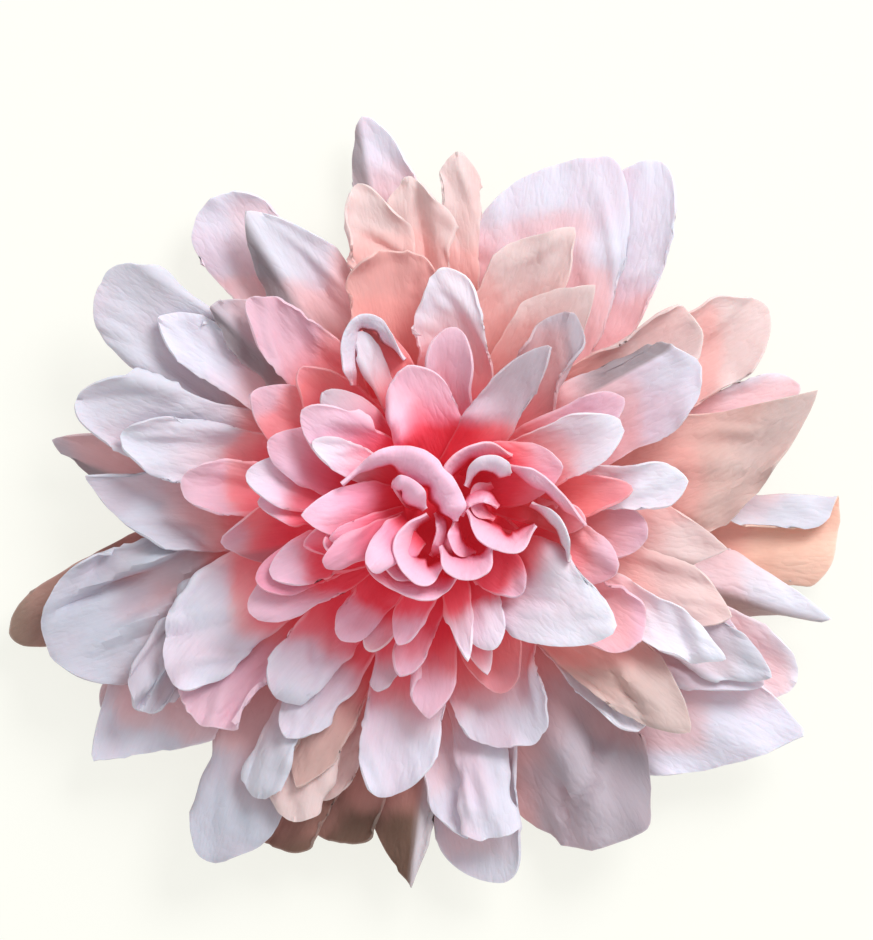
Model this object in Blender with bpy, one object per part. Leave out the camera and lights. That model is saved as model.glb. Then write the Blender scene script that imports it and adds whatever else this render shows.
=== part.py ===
# Layered paper flower: cut paper petals glued in rings round a paper cone on a card disc.
# Lengths below are in millimetres and angles in degrees; the meshes are made in metres.
# The flower faces +Z and lies on its backing disc, whose underside is at z = 0.
import math

import bmesh
import bpy
import numpy as np

METRES = 0.001

# Width of the flower over its petals, and the steps in it that the petals' tables count in
FLOWER_WIDTH = 140.0
WIDTH_STEPS = 140
TABLE_STEP = FLOWER_WIDTH / WIDTH_STEPS

# Backing disc
DISC_RADIUS = 22.0
DISC_THICKNESS = 1.0
DISC_SIDES = 40

# Cone that the petals are glued to: a dome of revolution standing on the disc
CORE_RADIUS = 18.0
CORE_HEIGHT = 25.0
CORE_FULLNESS = 2.2
CORE_SIDES = 24
CORE_STEPS = 6

# Paper
PAPER_THICKNESS = 0.5
PAPER_CLEARANCE = 0.35
ROOT_WIDTH = 6.0
SMALL_ROOT_WIDTH = 2.8
ROOT_DEPTH = 3.0
ANCHOR_REACH = 0.4
ANCHOR_DEPTH = 3.5

# Height of each ring's roots and of its petal tips, as shares of the cone's height
BACK_ROOT, BACK_TIP = 0.03, 0.24
OUTER_ROOT, OUTER_TIP = 0.14, 0.46
SECOND_ROOT, SECOND_TIP = 0.27, 0.68
THIRD_ROOT, THIRD_TIP = 0.40, 0.88
FOURTH_ROOT, FOURTH_TIP = 0.53, 1.00
FIFTH_ROOT, FIFTH_TIP = 0.66, 1.12
SIXTH_ROOT, SIXTH_TIP = 0.80, 1.22
HEART_ROOT, HEART_TIP = 0.93, 1.30

# Faces along and across a petal of its own, and a small petal of the heart
LARGE_STEPS = (6, 4)
SMALL_STEPS = (4, 2)

# Height map that keeps each petal above the ones under it
MAP_CELL = 0.5
MAP_CELLS_A_SIDE = 360
PROBE_STEPS = 8
STEEPEST = 0.25
SETTLE_ROUNDS = 12
SETTLED = 0.01
TIPWARD_FADE = 0.8
SIDEWAYS_FADE = 0.55

# Shares of a petal's length over which it takes its cup, its curled edges and its roll
CUPPED_BY = 0.6
CURLED_FROM = 0.35
CURLED_BY = 0.7
ROLLED_BY = 0.5
LIFTED_FROM = 0.45
LONGEST_NOSE = 0.8
CREASE_SHARPNESS = 4.0
CROSS_STEPS = 8
SMALLEST = 1e-9

# Shape of a plain petal. turn moves its root round the cone and bow bends it sideways in plan.
# cup, crease, roll, left and right are angles of the paper across the petal: left and right
# curl one edge, between the shares fold_from and fold_by of the half width. nose is the tip's
# length in half widths and sharp its exponent: 2 is round and 1 a straight-sided point. skew
# moves the tip to the left and lift curls it up, in millimetres. A small petal of the heart is
# a deeper spoon than a plain one.
PLAIN_PETAL = {
    "turn": 0.0, "bow": 0.0, "cup": 22.0, "crease": 0.0, "roll": 0.0, "left": 0.0, "right": 0.0,
    "fold_from": 0.45, "fold_by": 1.0, "nose": 1.4, "sharp": 1.65, "skew": 0.0, "belly": 0.45,
    "arch": 1.5, "rise": 0.0, "lift": 0.0,
}
SPOON_PETAL = {**PLAIN_PETAL, "cup": 28.0, "lift": 1.0, "belly": 0.4, "nose": 1.4, "sharp": 1.6}


def sized(shape):
    """A petal's shape with its lengths in plan turned from table steps into millimetres."""
    return {**shape, **{size: TABLE_STEP * shape[size] for size in ("x", "y", "width", "bow")}}


def petal(x, y, width, **shape):
    """A petal whose tip lies at x, y in plan, with what sets it apart from a plain one."""
    return sized({**PLAIN_PETAL, "x": x, "y": y, "width": width, **shape})


def spoon(x, y, width, **shape):
    """A small petal of the heart whose tip lies at x, y in plan."""
    return sized({**SPOON_PETAL, "x": x, "y": y, "width": width, **shape})


BACK_PETALS = [
    petal(-72.3, -22.6, 10, turn=-27, bow=-2, sharp=1.6, cup=10),
    petal(-65.4, 11.0, 9.5, turn=28, nose=2.2, sharp=1.2, left=-50),
    petal(-38.6, 51.4, 14.5, nose=0.8, sharp=2),
    petal(-11.6, 66.0, 11, left=50, nose=2.0, sharp=1.4, skew=0.3),
    petal(33.5, 58.2, 15, bow=-6.5, nose=1.0, sharp=1.8, skew=-0.4, belly=0.3),
    petal(20.5, 58.8, 26, bow=-3.4, nose=1.2, sharp=2, skew=-0.6, cup=14, belly=0.35),
    petal(55.6, 32.4, 16, nose=1.0, sharp=1.5, skew=0.1),
    petal(67.4, -4.4, 19, left=165, fold_from=0.25, fold_by=0.6, nose=0.5, sharp=2.4, cup=6),
    petal(65.8, -19.2, 14, crease=-20, cup=0, nose=2.8, sharp=1.12, right=-40, fold_from=0.3),
    petal(60.2, -30.0, 14),
    petal(60.6, -41.6, 24, turn=-8, bow=-2, nose=1.4, sharp=1.3, skew=0.2, left=50),
    petal(28.5, -58.2, 24.5, crease=-26, cup=10, nose=1.1, sharp=1.9, skew=0.4, belly=0.35),
    petal(8.3, -64.0, 16, nose=1.1, sharp=1.7, skew=0.3, left=60),
    petal(-8.3, -64.2, 14, nose=2.2, sharp=1.2, skew=0.5, left=50),
    petal(-18.8, -56.4, 14, nose=0.6, sharp=2.4),
    petal(-28.8, -57.2, 14, nose=0.6, sharp=2.4),
    petal(-37.0, -60.5, 15.5, turn=-12, bow=-3, nose=1.2, skew=-0.3),
    petal(-52.5, -43.6, 19, turn=-26, bow=-4, nose=0.8, sharp=1.7, skew=-0.6, cup=10, belly=0.3),
]

OUTER_PETALS = [
    petal(-57.0, 37.4, 16.5, bow=1.0, nose=0.9, sharp=1.8, cup=16, skew=-0.2, belly=0.35, right=45),
    petal(-30.6, 50.4, 15, left=80, fold_from=0.5, nose=1.7, sharp=1.25, skew=0.3),
    petal(3.0, 59.2, 6.5, turn=-10, nose=1.2),
    petal(-5.4, 55.2, 12, nose=1.5, sharp=1.4, crease=-16, right=40),
    petal(-13.8, 54.0, 12.5, nose=1.5, sharp=1.4, crease=16, left=50),
    petal(64.0, 18.6, 20, belly=0.3, turn=-20, bow=-3.5, nose=2.4, sharp=1.1, skew=0.1, cup=18, lift=3),
    petal(54.5, -30.2, 14, nose=1.5, sharp=1.3),
    petal(55.6, -28.9, 9, nose=1.5, sharp=1.3, cup=35),
    petal(4.5, -56.0, 10, bow=-2.5, nose=1.6, sharp=1.4),
    petal(9.0, -56.0, 9, nose=0.4, sharp=2.4),
    petal(-24.6, -53.3, 9, bow=-2.5, nose=0.8, cup=35),
    petal(-24.2, -47.5, 8, nose=1.8, sharp=1.25),
    petal(-30.4, -49.0, 6.5, bow=-3, nose=0.6),
    petal(-66.5, -23.2, 22.5, nose=1.1, sharp=1.85, cup=12, belly=0.3),
    petal(-50.4, -34.8, 11, turn=-16, bow=-4, nose=1.0, sharp=1.8, left=60),
    petal(-59.4, -0.6, 15, nose=1.7, sharp=1.25, skew=-0.75, right=60, fold_from=0.6, crease=8),
    petal(-61.2, 17.7, 13, nose=1.3, sharp=1.6),
]

SECOND_PETALS = [
    petal(-47.2, 31.2, 9, nose=1.4, sharp=1.5),
    petal(-53.5, 11.4, 11.5, nose=1.3, sharp=1.6, crease=10),
    petal(-37.2, 34.6, 9.5, left=100, nose=1.4, sharp=1.5, skew=0.4),
    petal(18.8, 48.2, 14, nose=1.3, sharp=1.2, skew=-0.6),
    petal(43.0, 31.0, 12, nose=0.7, sharp=1.9, left=60),
    petal(48.4, -7.4, 12, nose=2.2, sharp=1.2, right=60),
    petal(48.9, -18.7, 11, nose=1.6, sharp=1.25, crease=-12),
    petal(42.0, -38.2, 12.5, nose=1.6, sharp=1.3, crease=-14, right=50),
    petal(12.6, -40.8, 17, nose=0.9, sharp=1.9, cup=16, skew=0.35, left=40),
    petal(-8.4, -49.2, 13.5, nose=1.2, skew=-0.35, cup=16),
    petal(-25.8, -39.0, 9),
    petal(-39.8, -36.4, 12, bow=-3, nose=0.4, sharp=2.4),
    petal(-44.8, -30.0, 14.5, turn=-12, bow=-3, nose=1.2, sharp=1.45, skew=0.15, left=40),
]

THIRD_PETALS = [
    petal(-43.2, 3.4, 10, crease=12),
    petal(-31.4, 35.2, 12, nose=1.4, sharp=1.5, skew=0.2, right=40),
    petal(-9.8, 43.3, 16, nose=0.8, sharp=1.7, cup=30, skew=0.2),
    petal(23.6, 38.6, 12, nose=1.7, sharp=1.25, skew=-0.5),
    petal(43.3, 23.8, 15.5, left=80, fold_from=0.6, nose=1.1),
    petal(47.9, -25.8, 8.5, nose=2.4, sharp=1.2, cup=8),
    petal(-27.5, -31.8, 10, nose=0.7),
]

FOURTH_PETALS = [
    petal(-0.5, 39.8, 13, bow=-3, cup=45),
    petal(21.8, 32.6, 12, bow=-2, cup=40, nose=1.5, sharp=1.5, right=60),
    petal(33.4, -22.6, 14, nose=1.1, sharp=1.7, left=50),
]

# Small petals near the cone, from the lowest up, in the ring whose heights each list shares
SMALL_THIRD_PETALS = [
    spoon(-31.8, 18.5, 11),
    spoon(34.7, -4.8, 10, nose=1.2),
    spoon(11.2, -31.2, 11),
    spoon(-1.8, -35.4, 8.5, right=120, nose=1.3, sharp=1.4),
    spoon(-10.6, -31.2, 5),
    spoon(-36.6, -6.2, 11, nose=1.6, sharp=1.35, left=60),
]

SMALL_FOURTH_PETALS = [
    spoon(-13.4, 30.6, 6, bow=-3, roll=40),
    spoon(-23.5, 22.8, 10, cup=40),
    spoon(41.3, 4.0, 8, nose=1.2),
    spoon(32.5, 2.6, 8.5, cup=35, nose=1.8, sharp=1.4),
    spoon(30.6, 17.8, 8.5),
    spoon(30.0, -10.8, 10),
    spoon(7.9, -28.2, 6, nose=2, sharp=1.2),
    spoon(-6.6, -28.3, 6, turn=15),
    spoon(-11.9, -24.4, 6),
    spoon(-16.5, -22.6, 8),
    spoon(-31.9, -18.0, 10),
    spoon(-30.7, -13.0, 8.5),
    spoon(-30.0, 0.8, 8.5),
    spoon(-32.2, 5.0, 10),
    spoon(-28.7, 10.6, 10),
]

SMALL_FIFTH_PETALS = [
    spoon(-14.0, 29.0, 5, roll=40),
    spoon(-19.7, 18.8, 7.5),
    spoon(-22.8, 15.7, 10),
    spoon(30.6, 13.4, 10.5),
    spoon(21.5, -9.4, 6, roll=50),
    spoon(24.2, -3.0, 6, roll=45, turn=15),
    spoon(27.0, -23.6, 17, cup=30, nose=1.4, sharp=1.45, skew=0.4, left=70, fold_from=0.6),
    spoon(8.9, -24.1, 9),
    spoon(4.8, -26.1, 4.5),
    spoon(-6.9, -23.0, 6, turn=10),
    spoon(-28.2, -11.5, 10),
    spoon(-22.2, -6.6, 6),
]

SMALL_SIXTH_PETALS = [
    spoon(1.8, 29.6, 8.5, cup=35),
    spoon(-5.4, 23.2, 12, cup=30, turn=-14, nose=1.2, sharp=1.9),
    spoon(17.6, 27.4, 8.5, turn=8, nose=2.2, sharp=1.3, skew=-0.3),
    spoon(20.5, 6.3, 11, turn=25),
    spoon(-21.0, 10.6, 6),
    spoon(-22.9, -1.6, 10, nose=2.0, sharp=1.4, crease=-12),
    spoon(-18.2, -5.6, 4.5),
    spoon(-19.3, -10.0, 5),
    spoon(-12.2, -10.5, 8, cup=50),
    spoon(-4.2, -15.2, 11, cup=30, nose=1.0, sharp=2),
    spoon(13.6, -15.0, 8.5),
]

HEART_PETALS = [
    spoon(-15.8, 4.6, 7, turn=-45, bow=-3.2, cup=-25, arch=3),
    spoon(-8.1, 4.2, 6),
    spoon(10.4, 7.8, 6, turn=30, bow=2, cup=-20),
    spoon(12.1, 5.2, 4.5, nose=1.1),
    spoon(-3.6, -13.0, 8, bow=-1.5, cup=30, nose=1.0, sharp=2),
    spoon(4.8, -12.6, 8, bow=1, cup=30, nose=0.9, sharp=2.2),
    spoon(14.6, -7.4, 6.5, cup=25, nose=0.9, sharp=2.2, turn=-12),
    spoon(2.9, -3.2, 5.5, turn=150),
]

# Rings from the back of the flower to its front: name of its nodes, root height, tip height,
# petals with nodes of their own, and small petals that belong to the heart
RINGS = [
    ("back_petal", BACK_ROOT, BACK_TIP, BACK_PETALS, []),
    ("outer_petal", OUTER_ROOT, OUTER_TIP, OUTER_PETALS, []),
    ("second_petal", SECOND_ROOT, SECOND_TIP, SECOND_PETALS, []),
    ("third_petal", THIRD_ROOT, THIRD_TIP, THIRD_PETALS, SMALL_THIRD_PETALS),
    ("fourth_petal", FOURTH_ROOT, FOURTH_TIP, FOURTH_PETALS, SMALL_FOURTH_PETALS),
    ("fifth_petal", FIFTH_ROOT, FIFTH_TIP, [], SMALL_FIFTH_PETALS),
    ("sixth_petal", SIXTH_ROOT, SIXTH_TIP, [], SMALL_SIXTH_PETALS),
    ("heart_petal", HEART_ROOT, HEART_TIP, [], HEART_PETALS),
]

# Finish: roughness of the paper, and its colour at the back, at the front and in the card
PAPER_ROUGHNESS = 0.85
BACK_COLOUR = (0.80, 0.72, 0.78)
FRONT_COLOUR = (0.78, 0.16, 0.22)
CARD_COLOUR = (0.75, 0.70, 0.66)
SHARP_ANGLE = 50.0


def smoothstep(value):
    value = np.clip(value, 0.0, 1.0)
    return value * value * (3.0 - 2.0 * value)


def core_radius(height):
    """Radius of the cone at a height above the disc's underside."""
    share = np.clip((height - DISC_THICKNESS) / CORE_HEIGHT, 0.0, 1.0)
    return CORE_RADIUS * (1.0 - share) ** (1.0 / CORE_FULLNESS)


def core_top(radius):
    """Height of the cone's surface at a distance from the flower's axis."""
    share = np.clip(radius / CORE_RADIUS, 0.0, 1.0)
    return DISC_THICKNESS + CORE_HEIGHT * (1.0 - share ** CORE_FULLNESS)


def paper_angle(shape, along, across):
    """Angle of the paper across the petal, in radians, positive where it rises to the left."""
    side = np.abs(across)
    fold = smoothstep((side - shape["fold_from"]) / (shape["fold_by"] - shape["fold_from"]))
    curl = np.where(across > 0.0, shape["left"], shape["right"]) * fold
    angle = shape["cup"] * side + shape["crease"] * smoothstep(CREASE_SHARPNESS * side)
    angle = angle * smoothstep(along / CUPPED_BY)
    angle += curl * smoothstep((along - CURLED_FROM) / (CURLED_BY - CURLED_FROM))
    return np.radians(np.sign(across) * angle + shape["roll"] * smoothstep(along / ROLLED_BY))


def tip_reach(shape, across, length):
    """Share of the petal's length that its column at a place across reaches."""
    skew = shape["skew"]
    side = np.where(across > skew, (across - skew) / (1.0 - skew), (skew - across) / (1.0 + skew))
    nose = min(shape["nose"] * shape["width"] / 2.0 / length, LONGEST_NOSE)
    return 1.0 - nose * (1.0 - (1.0 - side ** shape["sharp"]) ** (1.0 / shape["sharp"]))


def petal_root(shape, reach, root_width):
    """Middle of a petal's root, further out where a slanting root would cut into the cone."""
    tip = np.array([shape["x"], shape["y"]])
    angle = math.atan2(shape["y"], shape["x"]) + math.radians(shape["turn"])
    outward = np.array([math.cos(angle), math.sin(angle)])
    chord = tip - reach * outward
    length = np.linalg.norm(chord)
    slant = abs(outward[0] * chord[1] - outward[1] * chord[0]) / length
    bend = 4.0 * abs(shape["bow"]) / length
    return outward * (reach + (slant + bend) * root_width / 2.0)


def petal_sheet(shape, root_height, tip_height, gap, root_width, grid):
    """Places of the paper's middle surface, as an array of rows from the root to the tip."""
    tip = np.array([shape["x"], shape["y"]])
    root_width = min(root_width, shape["width"])
    root = petal_root(shape, core_radius(root_height - PAPER_THICKNESS) + gap, root_width)
    length = np.linalg.norm(tip - root)
    forward = (tip - root) / length
    leftward = np.array([-forward[1], forward[0]])

    rows, columns = grid
    down, across = np.meshgrid(np.linspace(0.0, 1.0, rows + 1),
                               np.sin(np.linspace(-math.pi / 2, math.pi / 2, columns + 1)),
                               indexing="ij")
    along = down * tip_reach(shape, across, length)
    half_width = (root_width + (shape["width"] - root_width)
                  * smoothstep(along / shape["belly"])) / 2.0

    sideways = np.zeros_like(along)
    upward = np.zeros_like(along)
    for step in range(CROSS_STEPS):
        angle = paper_angle(shape, along, across * (step + 0.5) / CROSS_STEPS)
        sideways += np.cos(angle) * half_width * across / CROSS_STEPS
        upward += np.sin(angle) * half_width * across / CROSS_STEPS

    climb = tip_height + shape["rise"] - root_height
    slope = (climb + 4.0 * shape["arch"] * (1.0 - 2.0 * along)) / length
    bend = 4.0 * shape["bow"] * (1.0 - 2.0 * along) / length
    tilt = 1.0 / np.sqrt(1.0 + slope ** 2)
    turn = 1.0 / np.sqrt(1.0 + bend ** 2)

    ahead = length * along - upward * slope * tilt - sideways * bend * turn
    aside = 4.0 * shape["bow"] * along * (1.0 - along) + sideways * turn
    plan = root + ahead[..., None] * forward + aside[..., None] * leftward
    height = root_height + climb * along + 4.0 * shape["arch"] * along * (1.0 - along)
    height += shape["lift"] * smoothstep((along - LIFTED_FROM) / (1.0 - LIFTED_FROM))
    return np.dstack([plan, height + upward * tilt])


def probe_sheet(sheet):
    """Places on each face of a petal, with half the paper's height there."""
    share = np.linspace(0.0, 1.0, PROBE_STEPS + 1)
    u, v = np.meshgrid(share, share, indexing="ij")
    corners = [sheet[:-1, :-1], sheet[1:, :-1], sheet[:-1, 1:], sheet[1:, 1:]]
    a, b, c, d = [corner[:, :, None, None, :] for corner in corners]
    u, v = u[None, None, :, :, None], v[None, None, :, :, None]
    places = a * (1 - u) * (1 - v) + b * u * (1 - v) + c * (1 - u) * v + d * u * v
    normal = np.cross(b - a + d - c, c - a + d - b)
    upright = np.abs(normal[..., 2]) / np.maximum(np.linalg.norm(normal, axis=-1), SMALLEST)
    half_height = PAPER_THICKNESS / 2.0 / np.maximum(upright, STEEPEST)
    return places, np.broadcast_to(half_height, places.shape[:-1])


def map_cells(places):
    cells = np.floor(places[..., :2] / MAP_CELL).astype(int) + MAP_CELLS_A_SIDE // 2
    return np.clip(cells, 1, MAP_CELLS_A_SIDE - 2)


def disc_map():
    """Height map of the disc alone."""
    middle = (np.arange(MAP_CELLS_A_SIDE) - MAP_CELLS_A_SIDE // 2 + 0.5) * MAP_CELL
    x, y = np.meshgrid(middle, middle, indexing="ij")
    return np.where(np.hypot(x, y) < DISC_RADIUS + MAP_CELL, DISC_THICKNESS, 0.0)


def in_cone(places):
    """Where a place lies inside the cone, so that nothing else can meet the paper there."""
    radius = np.hypot(places[..., 0], places[..., 1])
    return radius < core_radius(places[..., 2] + PAPER_THICKNESS)


def needed_lift(sheet, ground):
    """How far each corner of a petal has to rise to clear what is under its faces."""
    places, half_height = probe_sheet(sheet)
    cells = map_cells(places)
    under = ground[cells[..., 0], cells[..., 1]]
    lack = under + PAPER_CLEARANCE + half_height - places[..., 2]
    lack[in_cone(places)] = 0.0
    face = lack.max(axis=(2, 3))
    need = np.zeros(sheet.shape[:2])
    for row in (0, 1):
        for column in (0, 1):
            part = need[row:row + face.shape[0], column:column + face.shape[1]]
            np.maximum(part, face, out=part)
    return need


def spread_lift(need):
    """The needed lift with its steps eased, mostly towards the tip."""
    lift = need.copy()
    for row in range(1, lift.shape[0]):
        lift[row] = np.maximum(lift[row], TIPWARD_FADE * lift[row - 1])
    for _ in range(2):
        padded = np.pad(lift, 1, mode="edge")
        beside = np.maximum(padded[1:-1, :-2], padded[1:-1, 2:])
        before = padded[2:, 1:-1]
        lift = np.maximum(lift, SIDEWAYS_FADE * np.maximum(beside, before))
    return lift


def cover_map(sheet, ground):
    """Raises a height map to the top of a petal, one cell beyond its edge."""
    places, half_height = probe_sheet(sheet)
    cells = map_cells(places)
    top = np.where(in_cone(places), 0.0, places[..., 2] + half_height)
    for east in (-1, 0, 1):
        for north in (-1, 0, 1):
            np.maximum.at(ground, (cells[..., 0] + east, cells[..., 1] + north), top)


def settle_petal(shape, heights, gap, root_width, grid, ground):
    """A petal glued at its ring's height and bent up just enough to clear the ones under it."""
    sheet = petal_sheet(shape, *heights, gap, root_width, grid)
    for _ in range(SETTLE_ROUNDS):
        need = needed_lift(sheet, ground)
        if need.max() < SETTLED:
            break
        sheet[..., 2] += spread_lift(need)
    return sheet


def anchor_sheet(sheet):
    """Adds a row to a small petal that leads from its root down into the cone."""
    root = sheet[:1]
    anchor = root * ANCHOR_REACH
    anchor[..., 2] = core_top(np.hypot(anchor[..., 0], anchor[..., 1])) - ANCHOR_DEPTH
    return np.concatenate([anchor, root, sheet[1:]])


def paper_material(name, colour):
    material = bpy.data.materials.new(name)
    material.use_nodes = True
    shader = material.node_tree.nodes["Principled BSDF"]
    shader.inputs["Base Color"].default_value = (*colour, 1.0)
    shader.inputs["Roughness"].default_value = PAPER_ROUGHNESS
    shader.inputs["Metallic"].default_value = 0.0
    return material


def mesh_object(name, builder, colour):
    mesh = bpy.data.meshes.new(name)
    builder.to_mesh(mesh)
    builder.free()
    mesh.materials.append(paper_material(name, colour))
    thing = bpy.data.objects.new(name, mesh)
    bpy.context.scene.collection.objects.link(thing)
    return thing


def petal_object(name, sheet, colour):
    """A grid of faces laid on a settled petal and thickened to the paper."""
    rows, columns = sheet.shape[0] - 1, sheet.shape[1] - 1
    builder = bmesh.new()
    bmesh.ops.create_grid(builder, x_segments=rows, y_segments=columns, size=0.5)
    for corner in builder.verts:
        row = round((corner.co.x + 0.5) * rows)
        column = round((corner.co.y + 0.5) * columns)
        corner.co = sheet[row, column] * METRES
    thing = mesh_object(name, builder, colour)
    thing.data.shade_smooth()
    thickness = thing.modifiers.new("paper", "SOLIDIFY")
    thickness.thickness = PAPER_THICKNESS * METRES
    thickness.offset = 0.0
    return thing


def backing_disc():
    builder = bmesh.new()
    bmesh.ops.create_cone(builder, cap_ends=True, segments=DISC_SIDES,
                          radius1=DISC_RADIUS * METRES, radius2=DISC_RADIUS * METRES,
                          depth=DISC_THICKNESS * METRES)
    bmesh.ops.translate(builder, verts=builder.verts, vec=(0, 0, DISC_THICKNESS * METRES / 2))
    disc = mesh_object("backing_disc", builder, CARD_COLOUR)
    disc.data.shade_smooth()
    disc.data.set_sharp_from_angle(angle=math.radians(SHARP_ANGLE))
    return disc


def paper_cone():
    """The dome of revolution that carries the petals, turned from its profile."""
    foot = DISC_THICKNESS + PAPER_CLEARANCE
    heights = [foot + (DISC_THICKNESS + CORE_HEIGHT - foot) * step / CORE_STEPS
               for step in range(CORE_STEPS)]
    builder = bmesh.new()
    profile = [builder.verts.new((core_radius(height) * METRES, 0, height * METRES))
               for height in heights]
    profile.append(builder.verts.new((0, 0, (DISC_THICKNESS + CORE_HEIGHT) * METRES)))
    profile.insert(0, builder.verts.new((0, 0, foot * METRES)))
    edges = [builder.edges.new(pair) for pair in zip(profile, profile[1:])]
    bmesh.ops.spin(builder, geom=profile + edges, cent=(0, 0, 0), axis=(0, 0, 1),
                   angle=2 * math.pi, steps=CORE_SIDES, use_merge=True)
    bmesh.ops.remove_doubles(builder, verts=builder.verts, dist=0.01 * METRES)
    bmesh.ops.recalc_face_normals(builder, faces=builder.faces)
    cone = mesh_object("flower_heart", builder, FRONT_COLOUR)
    cone.data.shade_smooth()
    cone.data.set_sharp_from_angle(angle=math.radians(SHARP_ANGLE))
    return cone


def ring_colour(index):
    share = index / (len(RINGS) - 1)
    return tuple(a + (b - a) * share for a, b in zip(BACK_COLOUR, FRONT_COLOUR))


def join_to_heart(heart, petals):
    """Makes one solid of the cone and the small petals, which stay as hidden guides."""
    guides = bpy.data.collections.new("heart_petals")
    bpy.context.scene.collection.children.link(guides)
    for thing in petals:
        bpy.context.scene.collection.objects.unlink(thing)
        guides.objects.link(thing)
        thing.hide_render = True
        thing.display_type = "WIRE"
    joint = heart.modifiers.new("glued petals", "BOOLEAN")
    joint.operation = "UNION"
    joint.solver = "EXACT"
    joint.operand_type = "COLLECTION"
    joint.collection = guides


def build_flower():
    for thing in list(bpy.data.objects):
        bpy.data.objects.remove(thing)
    backing_disc()
    heart = paper_cone()
    ground = disc_map()
    fused = []
    for index, (name, root, tip, large, small) in enumerate(RINGS):
        colour = ring_colour(index)
        heights = (DISC_THICKNESS + root * CORE_HEIGHT, DISC_THICKNESS + tip * CORE_HEIGHT)
        for number, shape in enumerate(large, 1):
            sheet = settle_petal(shape, heights, PAPER_CLEARANCE, ROOT_WIDTH, LARGE_STEPS, ground)
            cover_map(sheet, ground)
            petal_object(f"{name}_{number:02d}", sheet, colour)
        for number, shape in enumerate(small, 1):
            sheet = settle_petal(shape, heights, -ROOT_DEPTH, SMALL_ROOT_WIDTH, SMALL_STEPS, ground)
            cover_map(sheet, ground)
            fused.append(petal_object(f"small_{name}_{number:02d}", anchor_sheet(sheet), colour))
    join_to_heart(heart, fused)


build_flower()
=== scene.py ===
import math

import bmesh
import bpy
import numpy as np
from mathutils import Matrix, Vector


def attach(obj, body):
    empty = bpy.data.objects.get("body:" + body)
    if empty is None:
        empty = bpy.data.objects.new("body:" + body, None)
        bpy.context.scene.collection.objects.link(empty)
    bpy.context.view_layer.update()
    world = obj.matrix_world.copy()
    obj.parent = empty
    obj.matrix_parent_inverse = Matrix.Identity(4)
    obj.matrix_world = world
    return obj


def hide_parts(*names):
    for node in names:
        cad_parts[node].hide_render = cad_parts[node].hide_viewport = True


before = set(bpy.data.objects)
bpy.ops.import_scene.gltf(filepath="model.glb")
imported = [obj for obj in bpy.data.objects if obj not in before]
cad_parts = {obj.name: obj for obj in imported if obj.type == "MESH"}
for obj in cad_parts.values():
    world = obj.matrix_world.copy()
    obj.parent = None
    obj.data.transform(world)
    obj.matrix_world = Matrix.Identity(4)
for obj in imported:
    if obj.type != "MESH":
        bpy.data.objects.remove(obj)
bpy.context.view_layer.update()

mm = 0.001

# Layered paper flower: its petals lie one over the other in the painter's order of the rings
# below, on the card disc and paper cone. Lengths are in millimetres and angles in degrees
# until a mesh is made.
disc = {"radius": 22.0, "thickness": 1.0, "sides": 96, "roundedEdge": 0.2, "edgeSteps": 3}
cone = {"radius": 18.0, "height": 25.0, "fullness": 2.2, "sides": 48, "steps": 24, "lift": 0.02}

# Sizes of a petal's paper. hiddenRoot is how wide the root of a fine petal is, at most rootShare
# of the petal's own width, and it has its full width sooner than the solid one, by bellyShare.
# pressed is the share of the thickness that a fine sheet has.
paper = {
    "thickness": 0.5, "clearance": 0.35, "rootWidth": 6.0, "smallRootWidth": 2.8,
    "rootDepth": 3.0, "cutEdge": 0.07, "hiddenRoot": 13.0, "smallHiddenRoot": 7.0,
    "rootShare": 0.8, "bellyShare": 0.8, "pressed": 0.9,
}

# heights of a ring's roots and of its petal tips, as shares of the cone's height
ringHeights = {
    "back": (0.03, 0.24), "outer": (0.14, 0.46), "second": (0.27, 0.68), "third": (0.40, 0.88),
    "fourth": (0.53, 1.00), "fifth": (0.66, 1.12), "sixth": (0.80, 1.22), "heart": (0.93, 1.30),
}

# faces along and across a petal: first as the solid model has it, then as it is made here
largeGrid, smallGrid = (6, 4), (4, 2)
largeFine, smallFine = (44, 30), (26, 18)

# A plain petal. turn moves its root round the cone, bow bends it sideways in plan, and arch
# upwards. It has its full width at the share belly of its length. cup, crease, roll, left and
# right are angles of the paper across it, where left and right curl one edge between the shares
# foldFrom and foldBy of the half width. nose is the tip's length in half widths, sharp its
# exponent: 2 is round and 1 pointed, and skew moves the tip to the left. The rest is in
# millimetres: lift is the curl of the tip, wave a broad swell, ripple a wave of the edges,
# crumple fine creases and torn the roughness of the cut. under is the paper of its lower side.
plainPetal = {
    "turn": 0.0, "bow": 0.0, "arch": 1.5, "belly": 0.45, "cup": 22.0, "crease": 0.0, "roll": 0.0,
    "left": 0.0, "right": 0.0, "foldFrom": 0.45, "foldBy": 1.0, "nose": 1.4, "sharp": 1.65,
    "skew": 0.0, "lift": 0.0, "wave": 0.7, "ripple": 0.8, "crumple": 0.5, "torn": 0.15, "under": "",
}
spoonPetal = {**plainPetal, "cup": 28.0, "lift": 1.0, "belly": 0.4, "sharp": 1.6,
              "wave": 0.5, "ripple": 0.5, "crumple": 0.4}


def petal(x, y, width, look, **shape):
    return {**plainPetal, "x": x, "y": y, "width": width, "paper": look, **shape}


def spoon(x, y, width, look, **shape):
    return {**spoonPetal, "x": x, "y": y, "width": width, "paper": look, **shape}


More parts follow.
